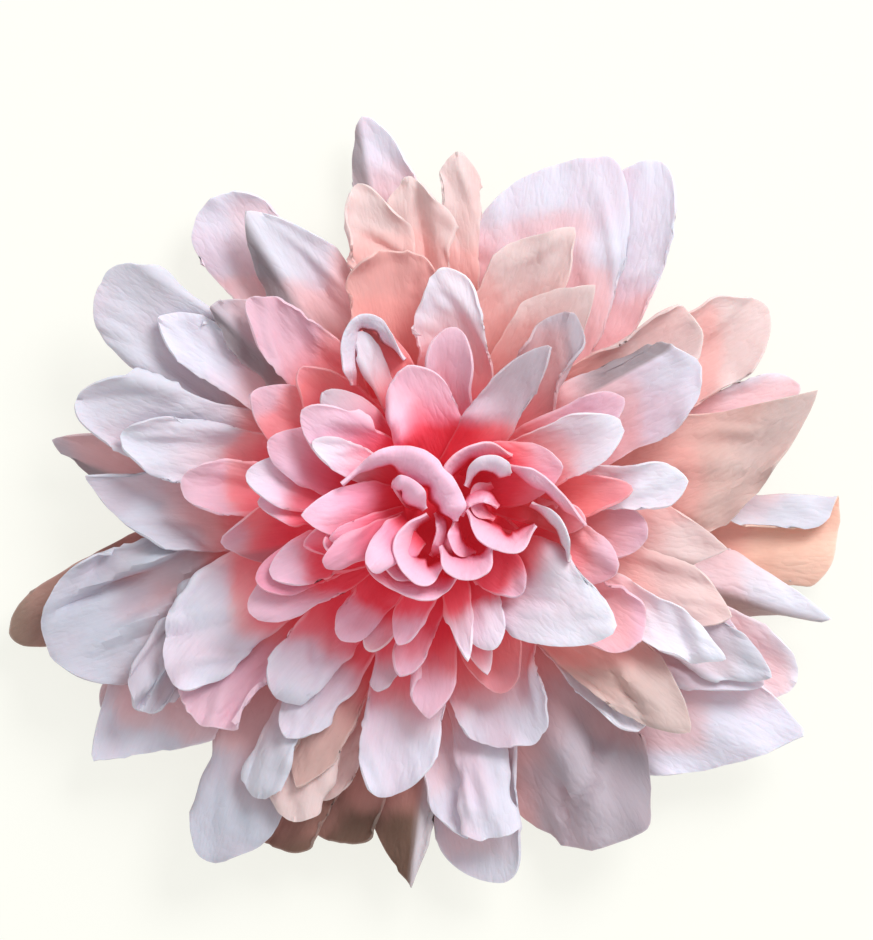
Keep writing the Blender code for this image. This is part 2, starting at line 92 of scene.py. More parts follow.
backPetals = [
    petal(-72.3, -22.6, 10, "deepShadeDrab", turn=-27, bow=-2, sharp=1.6, cup=10),
    petal(-65.4, 11.0, 9.5, "shadeGrey", turn=28, nose=2.2, sharp=1.2, left=-58, foldFrom=0.25, foldBy=0.55),
    petal(-38.6, 51.4, 14.5, "lilac", nose=0.8, sharp=2, crease=-8),
    petal(-11.6, 66.0, 11, "lilac", nose=2.0, sharp=1.4, skew=0.3, left=-58, foldFrom=0.3, foldBy=0.55),
    petal(33.5, 58.2, 15, "lilac", bow=-6.5, nose=1.0, sharp=1.8, skew=-0.4, belly=0.3, crumple=0.8),
    petal(20.5, 58.8, 26, "lilac", bow=-3.4, nose=1.2, sharp=2, skew=-0.6, cup=14, belly=0.35,
          crumple=1.1),
    petal(55.6, 32.4, 16, "peach", nose=1.0, sharp=1.5, skew=0.1, crumple=0.8, crease=14),
    petal(67.2, -2.8, 22.5, "tan", left=165, foldFrom=0.25, foldBy=0.6, nose=0.5, sharp=2.4, cup=6,
          under="halfShadeLilac"),
    petal(65.8, -19.2, 14, "white", crease=-20, cup=0, nose=2.8, sharp=1.12, right=-46, foldFrom=0.0,
          foldBy=0.2),
    petal(60.2, -30.0, 14, "white", crumple=1.0, crease=14),
    petal(59.0, -43.8, 26, "lilac", turn=-8, bow=-2, crumple=0.9, sharp=1.15, nose=1.5, skew=0.45,
          left=70, crease=-12),
    petal(29.6, -57.4, 26.5, "shaded", crease=-26, cup=10, nose=1.1, sharp=1.9, skew=0.4, belly=0.35,
          crumple=2.0, wave=1.4, left=-14, foldFrom=0.0, foldBy=0.35),
    petal(8.3, -64.0, 16, "halfShadeLilac", nose=1.1, sharp=1.7, skew=0.3, left=60, crumple=0.4, ripple=0.2,
          torn=0.0, wave=0.3),
    petal(-8.3, -64.2, 14, "deepShadeLitFlange", nose=2.2, sharp=1.2, skew=0.5, left=-50, foldFrom=0.35,
          foldBy=0.55),
    petal(-18.8, -56.4, 14, "deepShadeBrown", nose=0.6, sharp=2.4),
    petal(-28.8, -57.2, 14, "deepShadeBrown", nose=0.6, sharp=2.4, crumple=1.0),
    petal(-37.0, -60.5, 15.5, "shadeLilacDarkRoot", turn=-12, bow=-3, nose=1.2, skew=-0.3, crumple=0.6, crease=9),
    petal(-52.0, -45.4, 20, "lilac", turn=-26, bow=-4, cup=10, belly=0.3, crumple=1.0, sharp=1.2,
          nose=1.2, skew=-0.7, crease=-10),
]

outerPetals = [
    petal(-57.0, 37.4, 16.5, "halfShadeLilac", bow=1.0, nose=0.9, sharp=1.8, cup=16, skew=-0.2, belly=0.35,
          right=45, wave=1.2, crumple=0.8, crease=8),
    petal(-30.6, 50.4, 15, "halfShadeLilac", nose=1.7, sharp=1.25, skew=0.3, left=-58, foldFrom=0.3, foldBy=0.55,
          crumple=1.0),
    petal(3.0, 59.2, 6.5, "peach", turn=-10, nose=1.2, crumple=0.8),
    petal(-5.4, 55.2, 12, "peach", nose=1.5, sharp=1.4, crease=-16, right=40, ripple=1.8, crumple=1.4),
    petal(-13.8, 54.0, 12.5, "peach", nose=1.5, sharp=1.4, crease=16, left=50, ripple=1.8, crumple=1.4),
    petal(64.0, 18.6, 20, "apricot", belly=0.3, turn=-20, bow=-3.5, nose=2.4, sharp=1.1, skew=0.1,
          cup=18, crumple=0.9, lift=5.0),
    petal(54.5, -30.2, 14, "lilac", nose=1.5, sharp=1.3, crease=12),
    petal(55.6, -28.9, 9, "halfShadeLilac", cup=35, crumple=1.3, sharp=1.25, nose=1.7),
    petal(4.5, -56.0, 10, "lilac", bow=-2.5, nose=1.6, sharp=1.4, crease=12),
    petal(9.0, -56.0, 9, "lilac", nose=0.4, sharp=2.4, ripple=0.5, crumple=0.6),
    petal(-24.6, -53.3, 9, "peach", bow=-2.5, nose=0.8, cup=35, crumple=0.8),
    petal(-24.2, -47.5, 8, "shadePeach", nose=1.8, sharp=1.25),
    petal(-30.4, -49.0, 6.5, "halfShadeLilac", bow=-3, nose=0.6, crease=14),
    petal(-66.5, -23.2, 22.5, "shadeLilac", nose=1.1, sharp=1.85, cup=12, belly=0.3, crumple=4.4, wave=1.6,
          crease=6),
    petal(-50.4, -34.8, 11, "shadeLilac", turn=-16, bow=-4, nose=1.0, sharp=1.8, left=60, crumple=3.8,
          ripple=1.6, crease=16),
    petal(-59.4, -0.6, 15, "shadeLilac", nose=1.7, sharp=1.25, skew=-0.75, right=60, foldFrom=0.6, crease=8,
          crumple=0.7),
    petal(-61.2, 17.7, 13, "halfShadeLilac", nose=1.3, sharp=1.6, crumple=0.8, crease=8),
]

secondPetals = [
    petal(-47.2, 31.2, 9, "lilac", sharp=1.5, crease=12),
    petal(-53.5, 11.4, 11.5, "halfShadeLilac", nose=1.3, sharp=1.6, crease=10, crumple=1.2),
    petal(-37.2, 34.6, 9.5, "shadeGrey", sharp=1.5, skew=0.4, left=-60, foldFrom=0.25, foldBy=0.55,
          crease=8),
    petal(18.8, 48.2, 14, "peach", nose=1.3, sharp=1.2, skew=-0.6, crumple=0.8, crease=10),
    petal(43.0, 31.0, 12, "peach", nose=0.7, sharp=1.9, left=60, crumple=1.0, crease=8),
    petal(48.4, -7.4, 12, "peach", nose=2.2, sharp=1.2, right=-55, foldFrom=0.35, foldBy=0.55),
    petal(48.9, -18.7, 11, "peach", nose=1.6, sharp=1.25, crease=-12, crumple=0.8),
    petal(42.0, -38.2, 12.5, "apricot", crease=-14, right=50, crumple=1.7, sharp=1.2, nose=2.0),
    petal(12.6, -40.8, 17, "lilac", nose=0.9, sharp=1.9, cup=16, skew=0.35, left=40, torn=0.2,
          crumple=0.8, crease=9),
    petal(-8.4, -49.2, 13.5, "lilac", nose=1.2, skew=-0.35, cup=16, crease=10),
    petal(-25.8, -39.0, 9, "lilac"),
    petal(-39.8, -36.4, 12, "blush", bow=-3, nose=0.4, sharp=2.4, torn=0.3, crumple=1.2, left=70),
    petal(-44.8, -30.0, 14.5, "lilac", turn=-12, bow=-3, nose=1.2, sharp=1.45, skew=0.15, left=40,
          crumple=1.0, crease=-10),
]

thirdPetals = [
    petal(-43.2, 3.4, 10, "blush", crease=12),
    petal(-31.4, 35.2, 12, "blush", sharp=1.5, skew=0.2, right=40, crumple=1.1, crease=12),
    petal(-9.8, 43.3, 16, "salmon", nose=0.8, sharp=1.7, cup=30, skew=0.2, torn=0.4, ripple=1.4,
          crumple=0.8),
    petal(23.6, 38.6, 12, "peach", nose=1.7, sharp=1.25, skew=-0.5, crease=-12),
    petal(43.3, 23.8, 15.5, "lilac", nose=1.1, left=-58, foldFrom=0.5, foldBy=0.55, crumple=0.7,
          crease=-8),
    petal(47.9, -25.8, 8.5, "white", nose=2.4, sharp=1.2, cup=8, crumple=0.9, crease=14),
    petal(-27.5, -31.8, 10, "lilac", nose=0.7, ripple=1.4),
]

fourthPetals = [
    petal(-0.5, 39.8, 13, "white", bow=-3, cup=45, crumple=0.8),
    petal(21.8, 32.6, 12, "shadeGrey", bow=-2, cup=40, nose=1.5, sharp=1.5, right=60),
    petal(33.4, -22.6, 14, "blush", nose=1.1, sharp=1.7, left=50, crumple=0.8, crease=12),
]

smallThirdPetals = [
    spoon(-31.8, 18.5, 11, "blush", crease=12),
    spoon(34.7, -4.8, 10, "blush", nose=1.2, crease=-12),
    spoon(11.2, -31.2, 11, "coral"),
    spoon(-1.8, -35.4, 8.5, "blush", right=120, nose=1.3, sharp=1.4),
    spoon(-10.6, -31.2, 5, "shadeGrey"),
    spoon(-36.6, -6.2, 11, "blush", nose=1.6, sharp=1.35, left=-58, foldFrom=0.3, foldBy=0.55),
]

smallFourthPetals = [
    spoon(-13.4, 30.6, 6, "coral", bow=-3, roll=40),
    spoon(-23.5, 22.8, 10, "coral", cup=45),
    spoon(41.3, 4.0, 8, "white", nose=1.2, crumple=0.8),
    spoon(32.5, 2.6, 8.5, "coral", nose=1.8, sharp=1.4, cup=50),
    spoon(30.6, 17.8, 8.5, "blush", crease=12),
    spoon(30.0, -10.8, 10, "blush", crumple=0.8, crease=-12),
    spoon(7.9, -28.2, 6, "white", sharp=1.2, cup=50, nose=2.4, crease=16),
    spoon(-6.6, -28.3, 6, "blush", turn=15, cup=50),
    spoon(-11.9, -24.4, 6, "peach", cup=55),
    spoon(-16.5, -22.6, 8, "blush", cup=50),
    spoon(-31.9, -18.0, 10, "blush", cup=40),
    spoon(-30.7, -13.0, 8.5, "rose"),
    spoon(-30.0, 0.8, 8.5, "blush", crumple=0.7),
    spoon(-32.2, 5.0, 10, "lilac", crease=12),
    spoon(-28.7, 10.6, 10, "blush", cup=40),
]

smallFifthPetals = [
    spoon(-14.0, 29.0, 5, "white", roll=40),
    spoon(-19.7, 18.8, 7.5, "shadeGrey"),
    spoon(-22.8, 15.7, 10, "blush", cup=40),
    spoon(30.6, 13.4, 10.5, "white", crease=12),
    spoon(21.5, -9.4, 6, "white", roll=50),
    spoon(24.2, -3.0, 6, "blush", roll=45, turn=15),
    spoon(27.0, -23.6, 17, "white", cup=30, sharp=1.45, skew=0.4, left=70, foldFrom=0.6, crumple=1.1,
          wave=1.2, belly=0.6),
    spoon(8.9, -24.1, 9, "white", cup=40),
    spoon(4.8, -26.1, 4.5, "white", nose=3, sharp=1.2),
    spoon(-6.9, -23.0, 6, "blush", turn=10, cup=55),
    spoon(-28.2, -11.5, 10, "blush", cup=40, crease=12),
    spoon(-22.2, -6.6, 6, "rose"),
]

smallSixthPetals = [
    spoon(1.8, 29.6, 8.5, "blush", cup=35, crease=12),
    spoon(-5.4, 23.2, 12, "blush", cup=30, turn=-14, nose=1.2, sharp=1.9),
    spoon(17.6, 27.4, 8.5, "shadeGrey", turn=8, nose=2.2, sharp=1.3, skew=-0.3, crease=16),
    spoon(20.5, 6.3, 11, "blush", turn=25, crease=-10),
    spoon(-21.0, 10.6, 6, "white"),
    spoon(-22.9, -1.6, 10, "blush", nose=2.0, sharp=1.4, crease=-12),
    spoon(-18.2, -5.6, 4.5, "rose"),
    spoon(-19.3, -10.0, 5, "rose"),
    spoon(-12.2, -10.5, 8, "blush", cup=50),
    spoon(13.6, -15.0, 8.5, "blush"),
]

heartPetals = [
    spoon(-8.1, 4.2, 6, "blush"),
]

# thin petals that only show between the others: the ring each lies in and the node it goes with
sliverPetals = [
    ("back", "back_petal_18", petal(-57.2, -34.2, 8, "halfShadeLilac")),
    ("back", "back_petal_08", petal(60.5, 20.0, 8, "lilac")),
    ("outer", "outer_petal_01", petal(-47.8, 33.3, 8, "lilac", roll=45)),
    ("outer", "outer_petal_11", petal(-20.5, -49.6, 8, "peach")),
    ("second", "second_petal_08", petal(34.2, -37.6, 7, "white")),
]

# A plain curl of paper in the heart. path is the middle of it in plan, from end to end, top the
# height of its crest and rise how much higher its far end is. width is how wide it looks from
# above, drop how far its inner side goes down between the others, on the left of the path or on
# the right, and steep how late it does so. over is the fall of the outer edge beyond the share
# crest of the width, ends the share of the length in which each end tapers, and root how much
# further the paper goes down out of sight, in flutes of a given depth.
plainCurl = {
    "top": 47.0, "rise": 0.0, "width": 4.0, "drop": 7.0, "side": "left", "steep": 1.6, "over": 0.0,
    "crest": 0.8, "ends": (0.3, 0.3), "root": 9.0, "flute": 0.7, "paper": "blush",
}


def curl(path, **shape):
    return {**plainCurl, "path": path, **shape}


heartCurls = [
    curl([(-12.4, -4.2), (-11.2, -8.6), (-8.2, -11.9), (-3.6, -13.7), (0.4, -13.3), (3.2, -11.2)],
         top=43.0, width=3.6),
    curl([(-9.2, -4.0), (-8.6, -8.2), (-6.8, -11.0), (-4.0, -12.4)], top=44.5, width=2.6),
    curl([(-2.0, -1.6), (-4.6, -3.6), (-5.6, -6.6), (-4.6, -9.8), (-2.2, -11.2), (0.6, -9.6)],
         top=46.5, width=4.4, drop=9.0, ends=(0.45, 0.25)),
    curl([(0.2, -6.6), (1.8, -9.4), (4.6, -10.4), (7.2, -9.4), (8.4, -6.6)],
         top=47.0, width=3.8, drop=8.0),
    curl([(4.6, -0.6), (6.8, -3.6), (9.6, -5.6), (12.8, -6.2), (15.8, -3.2)],
         top=45.5, width=3.6, drop=7.0),
    curl([(-17.6, -3.4), (-18.0, -6.4), (-15.2, -7.8), (-13.4, -5.2)], top=43.0, width=2.6),
    curl([(1.7, 0.6), (1.5, 5.2), (4.4, 8.4), (8.2, 9.3), (12.0, 8.2)], top=44.5, width=2.4, side="right",
         drop=9.0, paper="coral"),
    curl([(4.2, 3.2), (5.8, 6.0), (8.8, 6.8), (11.8, 5.4)], top=46.0, width=3.0, side="right", steep=2.4,
         drop=6.0, ends=(0.5, 0.15), paper="white"),
    curl([(-16.2, 3.4), (-12.4, 6.3), (-8.4, 7.8), (-4.4, 7.1), (-1.0, 4.4), (1.3, 1.2), (2.5, -2.6)],
         top=48.0, rise=-2.5, width=5.0, side="right", steep=3.0, over=0.5, drop=5.0, ends=(0.5, 0.1)),
    curl([(-8.0, 3.6), (-5.2, 2.9), (-2.4, -0.6)], top=47.0, width=3.4, side="right", steep=2.6, drop=5.0,
         ends=(0.25, 0.3)),
    curl([(15.2, 0.4), (18.6, -1.8), (20.6, -5.4), (21.4, -9.4)], top=41.5, width=1.7, drop=5.0,
         side="right", paper="white"),
    curl([(10.6, 6.8), (15.4, 4.4), (20.0, 1.0), (24.2, -3.4)], top=42.5, rise=-3.0, width=2.8, drop=3.0,
         side="right", steep=1.2, ends=(0.3, 0.6)),
    curl([(-14.6, 20.0), (-15.2, 26.6), (-13.4, 30.4), (-9.8, 29.4), (-6.0, 24.2)], top=35.5, width=2.5,
         side="right", drop=3.5, root=4.5, paper="lilac", ends=(0.1, 0.3)),
    curl([(3.6, -1.8), (4.6, 0.6), (7.4, 1.4), (9.6, -0.4)],
         top=42.0, width=1.8, drop=3.0, paper="coral"),
    curl([(-0.8, -1.2), (0.2, -3.4), (-0.2, -6.2), (-1.6, -8.4)], top=41.0, width=1.8, drop=3.0),
    curl([(2.4, -2.8), (2.2, -5.2), (3.4, -7.4), (6.0, -7.8)], top=42.0, width=1.9, drop=3.0),
    curl([(8.6, 3.6), (6.2, 2.4), (6.4, -0.6), (9.0, -2.4)],
         top=40.0, width=2.2, drop=3.0, paper="coral"),
    curl([(1.2, -4.2), (0.6, -6.6), (2.0, -9.0)],
         top=39.0, width=2.2, drop=3.0, side="right", paper="coral"),
]

# rings from the back of the flower to its front: petals that stand for a node each, and the
# small ones that the heart's node holds
rings = [
    ("back", backPetals, []),
    ("outer", outerPetals, []),
    ("second", secondPetals, []),
    ("third", thirdPetals, smallThirdPetals),
    ("fourth", fourthPetals, smallFourthPetals),
    ("fifth", [], smallFifthPetals),
    ("sixth", [], smallSixthPetals),
    ("heart", [], heartPetals),
]

# map of the tops of what is laid, and how a petal is lifted over it: as the solid model does
# it, and then more closely for the fine sheets
heightMap = {"reach": 90.0, "cell": 0.5, "probes": 9, "steepest": 0.25, "rounds": 12, "settled": 0.01}
fineMap = {"probes": 3, "clearance": 0.05, "rounds": 6, "widen": 2, "blur": 3, "coverProbes": 4}
mapSide = int(2 * heightMap["reach"] / heightMap["cell"])


def easeStep(value):
    value = np.clip(value, 0.0, 1.0)
    return value * value * (3.0 - 2.0 * value)


def coneRadius(height):
    share = np.clip((height - disc["thickness"]) / cone["height"], 0.0, 1.0)
    return cone["radius"] * (1.0 - share) ** (1.0 / cone["fullness"])


def paperAngle(shape, along, across):
    # angle of the paper across the petal, positive where it rises to the left
    side = np.abs(across)
    fold = easeStep((side - shape["foldFrom"]) / (shape["foldBy"] - shape["foldFrom"]))
    curl = np.where(across > 0.0, shape["left"], shape["right"]) * fold
    angle = shape["cup"] * side + shape["crease"] * easeStep(4.0 * side)
    angle = angle * easeStep(along / 0.6) + curl * easeStep((along - 0.35) / 0.35)
    return np.radians(np.sign(across) * angle + shape["roll"] * easeStep(along / 0.5))


def tipReach(shape, across, length):
    # share of the petal's length that its column at a place across reaches
    skew = shape["skew"]
    side = np.where(across > skew, (across - skew) / (1.0 - skew), (skew - across) / (1.0 + skew))
    nose = min(shape["nose"] * shape["width"] / 2.0 / length, 0.8)
    return 1.0 - nose * (1.0 - (1.0 - side ** shape["sharp"]) ** (1.0 / shape["sharp"]))


def softNoise(x, y, seed):
    # smooth random swells between -1 and 1, one cell wide
    table = np.random.default_rng(seed).uniform(-1.0, 1.0, (64, 64))
    i, j = np.floor(x).astype(int), np.floor(y).astype(int)
    u, v = easeStep(x - i), easeStep(y - j)
    a, b = table[i % 64, j % 64], table[(i + 1) % 64, j % 64]
    c, d = table[i % 64, (j + 1) % 64], table[(i + 1) % 64, (j + 1) % 64]
    return (a * (1 - u) + b * u) * (1 - v) + (c * (1 - u) + d * u) * v


# roughness of a torn cut, at the tip and at the sides: the length of its fine teeth and of its
# broad ones in millimetres, and how much larger the broad ones are
teeth = {"tip": (2.0, 5.0, 1.5), "side": (1.6, 6.0, 2.0)}


def tornCut(where, distance, row, seed):
    fine, broad, larger = teeth[where]
    return softNoise(distance / fine, row, seed) + larger * softNoise(distance / broad, row, seed + 1)


def petalRoot(shape, reach, rootWidth):
    tip = np.array([shape["x"], shape["y"]])
    angle = math.atan2(shape["y"], shape["x"]) + math.radians(shape["turn"])
    outward = np.array([math.cos(angle), math.sin(angle)])
    chord = tip - reach * outward
    length = np.linalg.norm(chord)
    slant = abs(outward[0] * chord[1] - outward[1] * chord[0]) / length
    bend = 4.0 * abs(shape["bow"]) / length
    return outward * (reach + (slant + bend) * rootWidth / 2.0)


def petalSheet(shape, heights, gap, rootWidth, grid, seed=None):
    # The paper's middle surface, as rows from the root to the tip. With each place come its
    # share of the petal's length, how far it is from the middle line and from the cut edge.
    # Only a fine sheet has a seed, and with it a wide root and a torn cut.
    fine = seed is not None
    rootHeight, tipHeight = [disc["thickness"] + share * cone["height"] for share in heights]
    tip = np.array([shape["x"], shape["y"]])
    rootWidth = min(rootWidth, shape["width"])
    root = petalRoot(shape, coneRadius(rootHeight - paper["thickness"]) + gap, rootWidth)
    if fine:
        rootWidth = min(paper["hiddenRoot" if gap > 0.0 else "smallHiddenRoot"],
                        paper["rootShare"] * shape["width"])
    length = np.linalg.norm(tip - root)
    forward = (tip - root) / length
    leftward = np.array([-forward[1], forward[0]])

    rows, columns = grid
    down, across = np.meshgrid(np.linspace(0.0, 1.0, rows + 1),
                               np.sin(np.linspace(-math.pi / 2, math.pi / 2, columns + 1)),
                               indexing="ij")
    reach = tipReach(shape, across, length)
    if fine:
        reach += shape["torn"] / length * tornCut("tip", across * shape["width"], reach * 0, seed)
    along = down * reach
    belly = paper["bellyShare"] * shape["belly"] if fine else shape["belly"]
    halfWidth = (rootWidth + (shape["width"] - rootWidth) * easeStep(along / belly)) / 2.0
    if fine:
        rough = tornCut("side", along * length, 2.0 * np.sign(across), seed + 2)
        halfWidth = halfWidth + shape["torn"] * rough * np.abs(across) * easeStep(along / 0.3)

    sideways = np.zeros_like(along)
    upward = np.zeros_like(along)
    crossSteps = 8
    for step in range(crossSteps):
        angle = paperAngle(shape, along, across * (step + 0.5) / crossSteps)
        sideways += np.cos(angle) * halfWidth * across / crossSteps
        upward += np.sin(angle) * halfWidth * across / crossSteps

    climb = tipHeight - rootHeight
    slope = (climb + 4.0 * shape["arch"] * (1.0 - 2.0 * along)) / length
    bend = 4.0 * shape["bow"] * (1.0 - 2.0 * along) / length
    tilt = 1.0 / np.sqrt(1.0 + slope ** 2)
    turn = 1.0 / np.sqrt(1.0 + bend ** 2)

    ahead = length * along - upward * slope * tilt - sideways * bend * turn
    aside = 4.0 * shape["bow"] * along * (1.0 - along) + sideways * turn
    plan = root + ahead[..., None] * forward + aside[..., None] * leftward
    height = rootHeight + climb * along + 4.0 * shape["arch"] * along * (1.0 - along)
    height += shape["lift"] * easeStep((along - 0.45) / 0.55)
    rim = np.minimum(halfWidth * (1.0 - np.abs(across)), (reach - along) * length)
    return np.dstack([plan, height + upward * tilt]), along, across * halfWidth, rim, length


def mapCells(places):
    cells = np.floor((places[..., :2] + heightMap["reach"]) / heightMap["cell"]).astype(int)
    return np.clip(cells, 1, mapSide - 2)


def discMap():
    middle = (np.arange(mapSide) + 0.5) * heightMap["cell"] - heightMap["reach"]
    x, y = np.meshgrid(middle, middle, indexing="ij")
    return np.where(np.hypot(x, y) < disc["radius"] + heightMap["cell"], disc["thickness"], 0.0)


def inCone(places):
    radius = np.hypot(places[..., 0], places[..., 1])
    return radius < coneRadius(places[..., 2] + paper["thickness"])


def probeSheet(sheet, probes):
    # places on each face of a petal, with half the paper's height there
    share = np.linspace(0.0, 1.0, probes)
    u, v = np.meshgrid(share, share, indexing="ij")
    corners = [sheet[:-1, :-1], sheet[1:, :-1], sheet[:-1, 1:], sheet[1:, 1:]]
    a, b, c, d = [corner[:, :, None, None, :] for corner in corners]
    u, v = u[None, None, :, :, None], v[None, None, :, :, None]
    places = a * (1 - u) * (1 - v) + b * u * (1 - v) + c * (1 - u) * v + d * u * v
    normal = np.cross(b - a + d - c, c - a + d - b)
    upright = np.abs(normal[..., 2]) / np.maximum(np.linalg.norm(normal, axis=-1), 1e-9)
    halfHeight = paper["thickness"] / 2.0 / np.maximum(upright, heightMap["steepest"])
    return places, np.broadcast_to(halfHeight, places.shape[:-1])


def neededLift(sheet, ground, probes, clearance):
    places, halfHeight = probeSheet(sheet, probes)
    cells = mapCells(places)
    lack = ground[cells[..., 0], cells[..., 1]] + clearance + halfHeight - places[..., 2]
    lack[inCone(places)] = 0.0
    face = lack.max(axis=(2, 3))
    need = np.zeros(sheet.shape[:2])
    for row in (0, 1):
        for column in (0, 1):
            part = need[row:row + face.shape[0], column:column + face.shape[1]]
            np.maximum(part, face, out=part)
    return need


def spreadLift(need):
    # eases the steps of a needed lift, mostly towards the tip
    lift = need.copy()
    for row in range(1, lift.shape[0]):
        lift[row] = np.maximum(lift[row], 0.8 * lift[row - 1])
    for _ in range(2):
        left, right = neighbours(lift, 1)
        lift = np.maximum(lift, 0.55 * np.maximum(np.maximum(left, right), neighbours(lift, 0)[1]))
    return lift


def coverMap(sheet, ground, probes):
    places, halfHeight = probeSheet(sheet, probes)
    cells = mapCells(places)
    top = np.where(inCone(places), 0.0, places[..., 2] + halfHeight)
    for east in (-1, 0, 1):
        for north in (-1, 0, 1):
            np.maximum.at(ground, (cells[..., 0] + east, cells[..., 1] + north), top)


def neighbours(values, axis):
    # the values before and after each one, where those at the ends stand twice
    padded = np.pad(values, 1, mode="edge")
    if axis == 0:
        return padded[:-2, 1:-1], padded[2:, 1:-1]
    return padded[1:-1, :-2], padded[1:-1, 2:]


def blurred(values):
    for axis in (0, 1):
        before, after = neighbours(values, axis)
        values = (before + 2.0 * values + after) / 4.0
    return values


def widened(values):
    for axis in (0, 1):
        before, after = neighbours(values, axis)
        values = np.maximum(np.maximum(before, values), after)
    return values


def resample(values, rows, columns):
    # smooth values between the rows and columns of a coarse grid
    def spline(table, count):
        spots = np.linspace(0.0, table.shape[0] - 1.0, count)
        first = np.minimum(spots.astype(int), table.shape[0] - 2)
        share = (spots - first)[:, None]
        padded = np.concatenate([2 * table[:1] - table[1:2], table, 2 * table[-1:] - table[-2:-1]])
        a, b, c, d = (padded[first + k] for k in range(4))
        return 0.5 * (2 * b + (c - a) * share + (2 * a - 5 * b + 4 * c - d) * share ** 2
                      + (3 * b - a - 3 * c + d) * share ** 3)
    return spline(spline(values, rows).T, columns).T


def sheetNormals(sheet):
    normal = np.cross(np.gradient(sheet, axis=0), np.gradient(sheet, axis=1))
    return normal / np.maximum(np.linalg.norm(normal, axis=-1, keepdims=True), 1e-9)


# Creases of a crumpled petal: how many, how far all of them lean and each one more, in degrees,
# and how bent they are. The rest are the least and the most: where one starts along the petal,
# as a share, its reach and its width in millimetres, and its height beside the tallest.
creases = {"count": 9, "lean": 40, "scatter": 22, "bend": 0.015, "start": (0.35, 0.95),
           "reach": (7, 18), "width": (0.9, 2.6), "height": (0.3, 1.0)}

# lengths in millimetres of the paper's swells along a petal and across it, of the ripples along
# its edge, and of those at its tip, and the share of the width in which the edge is rippled
swells = {"wave": (11.0, 6.0), "edge": 3.6, "tip": (9.0, 3.0), "edgeShare": 0.35}


def creaseLines(shape, s, t, seed):
    # long ridges and valleys side by side, as in paper that has been squeezed and opened again
    rng = np.random.default_rng(seed)
    lean = rng.uniform(-creases["lean"], creases["lean"])
    height = np.zeros_like(s)
    for _ in range(creases["count"]):
        slant = math.radians(lean + rng.uniform(-creases["scatter"], creases["scatter"]))
        middle = rng.uniform(-0.5, 0.5) * shape["width"]
        start = rng.uniform(*creases["start"]) * s.max()
        run = (s - start) * math.cos(slant) - (t - middle) * math.sin(slant)
        bend = rng.uniform(-creases["bend"], creases["bend"]) * run ** 2
        distance = (t - middle) * math.cos(slant) + (s - start) * math.sin(slant) + bend
        fade = easeStep(1.0 - np.abs(run) / rng.uniform(*creases["reach"]))
        ridge = np.maximum(1.0 - np.abs(distance) / rng.uniform(*creases["width"]), 0.0)
        height += rng.choice((-1.0, 1.0)) * rng.uniform(*creases["height"]) * ridge * fade
    return height


def shapePaper(shape, sheet, along, t, rim, length, seed):
    # swells, ripples and creases of soft paper, raised square to the sheet
    s = along * length
    edge = np.clip(1.0 - rim / (swells["edgeShare"] * shape["width"]), 0.0, 1.0) ** 2
    free = easeStep((along - 0.25) / 0.35)
    (waveLength, waveWidth), (tipLength, tipWidth) = swells["wave"], swells["tip"]
    raised = shape["wave"] * softNoise(s / waveLength, t / waveWidth, seed + 4)
    raised += shape["ripple"] * edge * (softNoise(s / swells["edge"], np.sign(t) * 2.0, seed + 5)
                                        + softNoise(t / tipWidth, s / tipLength, seed + 6))
    raised += shape["crumple"] * creaseLines(shape, s, t, seed + 7)
    return sheet - sheetNormals(sheet) * (raised * free)[..., None]


def settlePetal(shape, heights, small, ground, fineGround, seed):
    # settles the coarse petal as the solid model does, and then the fine one over its neighbours
    gap = -paper["rootDepth"] if small else paper["clearance"]
    rootWidth = paper["smallRootWidth"] if small else paper["rootWidth"]
    grid, fineGrid = (smallGrid, smallFine) if small else (largeGrid, largeFine)
    start = petalSheet(shape, heights, gap, rootWidth, grid)[0]
    coarse = start.copy()
    for _ in range(heightMap["rounds"]):
        need = neededLift(coarse, ground, heightMap["probes"], paper["clearance"])
        if need.max() < heightMap["settled"]:
            break
        coarse[..., 2] += spreadLift(need)
    coverMap(coarse, ground, heightMap["probes"])

    sheet, along, t, rim, length = petalSheet(shape, heights, gap, rootWidth, fineGrid, seed)
    lift = coarse[..., 2] - start[..., 2]
    sheet[..., 2] += resample(lift, fineGrid[0] + 1, fineGrid[1] + 1)
    sheet = shapePaper(shape, sheet, along, t, rim, length, seed)
    free = easeStep((along - 0.15) / 0.25)
    for _ in range(fineMap["rounds"]):
        need = neededLift(sheet, fineGround, fineMap["probes"], fineMap["clearance"]) * free
        if need.max() < fineMap["clearance"]:
            break
        for _ in range(fineMap["widen"]):
            need = widened(need)
        for _ in range(fineMap["blur"]):
            need = blurred(need)
        sheet[..., 2] += need * free
    # the third next to the root is deep inside and covers nothing
    coverMap(sheet[fineGrid[0] // 3:], fineGround, fineMap["coverProbes"])
    return sheet, along, t, rim, length


# Paper of a curl: its faces along and across, how far its crest swells and its width varies, and
# the lengths of these and of its flutes. endDip is how far its ends go down, and endWidth and
# rootShare are shares of its width: at its ends, and in which it goes down to its root. Its
# colour is that of the place palest between root and tip, and nearer to the root by redder.
# From the distance edgeless on, a place is far from the cut edge.
curlPaper = {
    "grid": (60, 18), "swell": 0.9, "uneven": 0.12, "swellLength": 3.2, "unevenLength": 1.7,
    "fluteLength": 2.2, "unevenSeed": 31, "endDip": 4.0, "endWidth": 0.15, "rootShare": 0.22,
    "palest": 0.95, "redder": 0.75, "edgeless": 9.0,
}


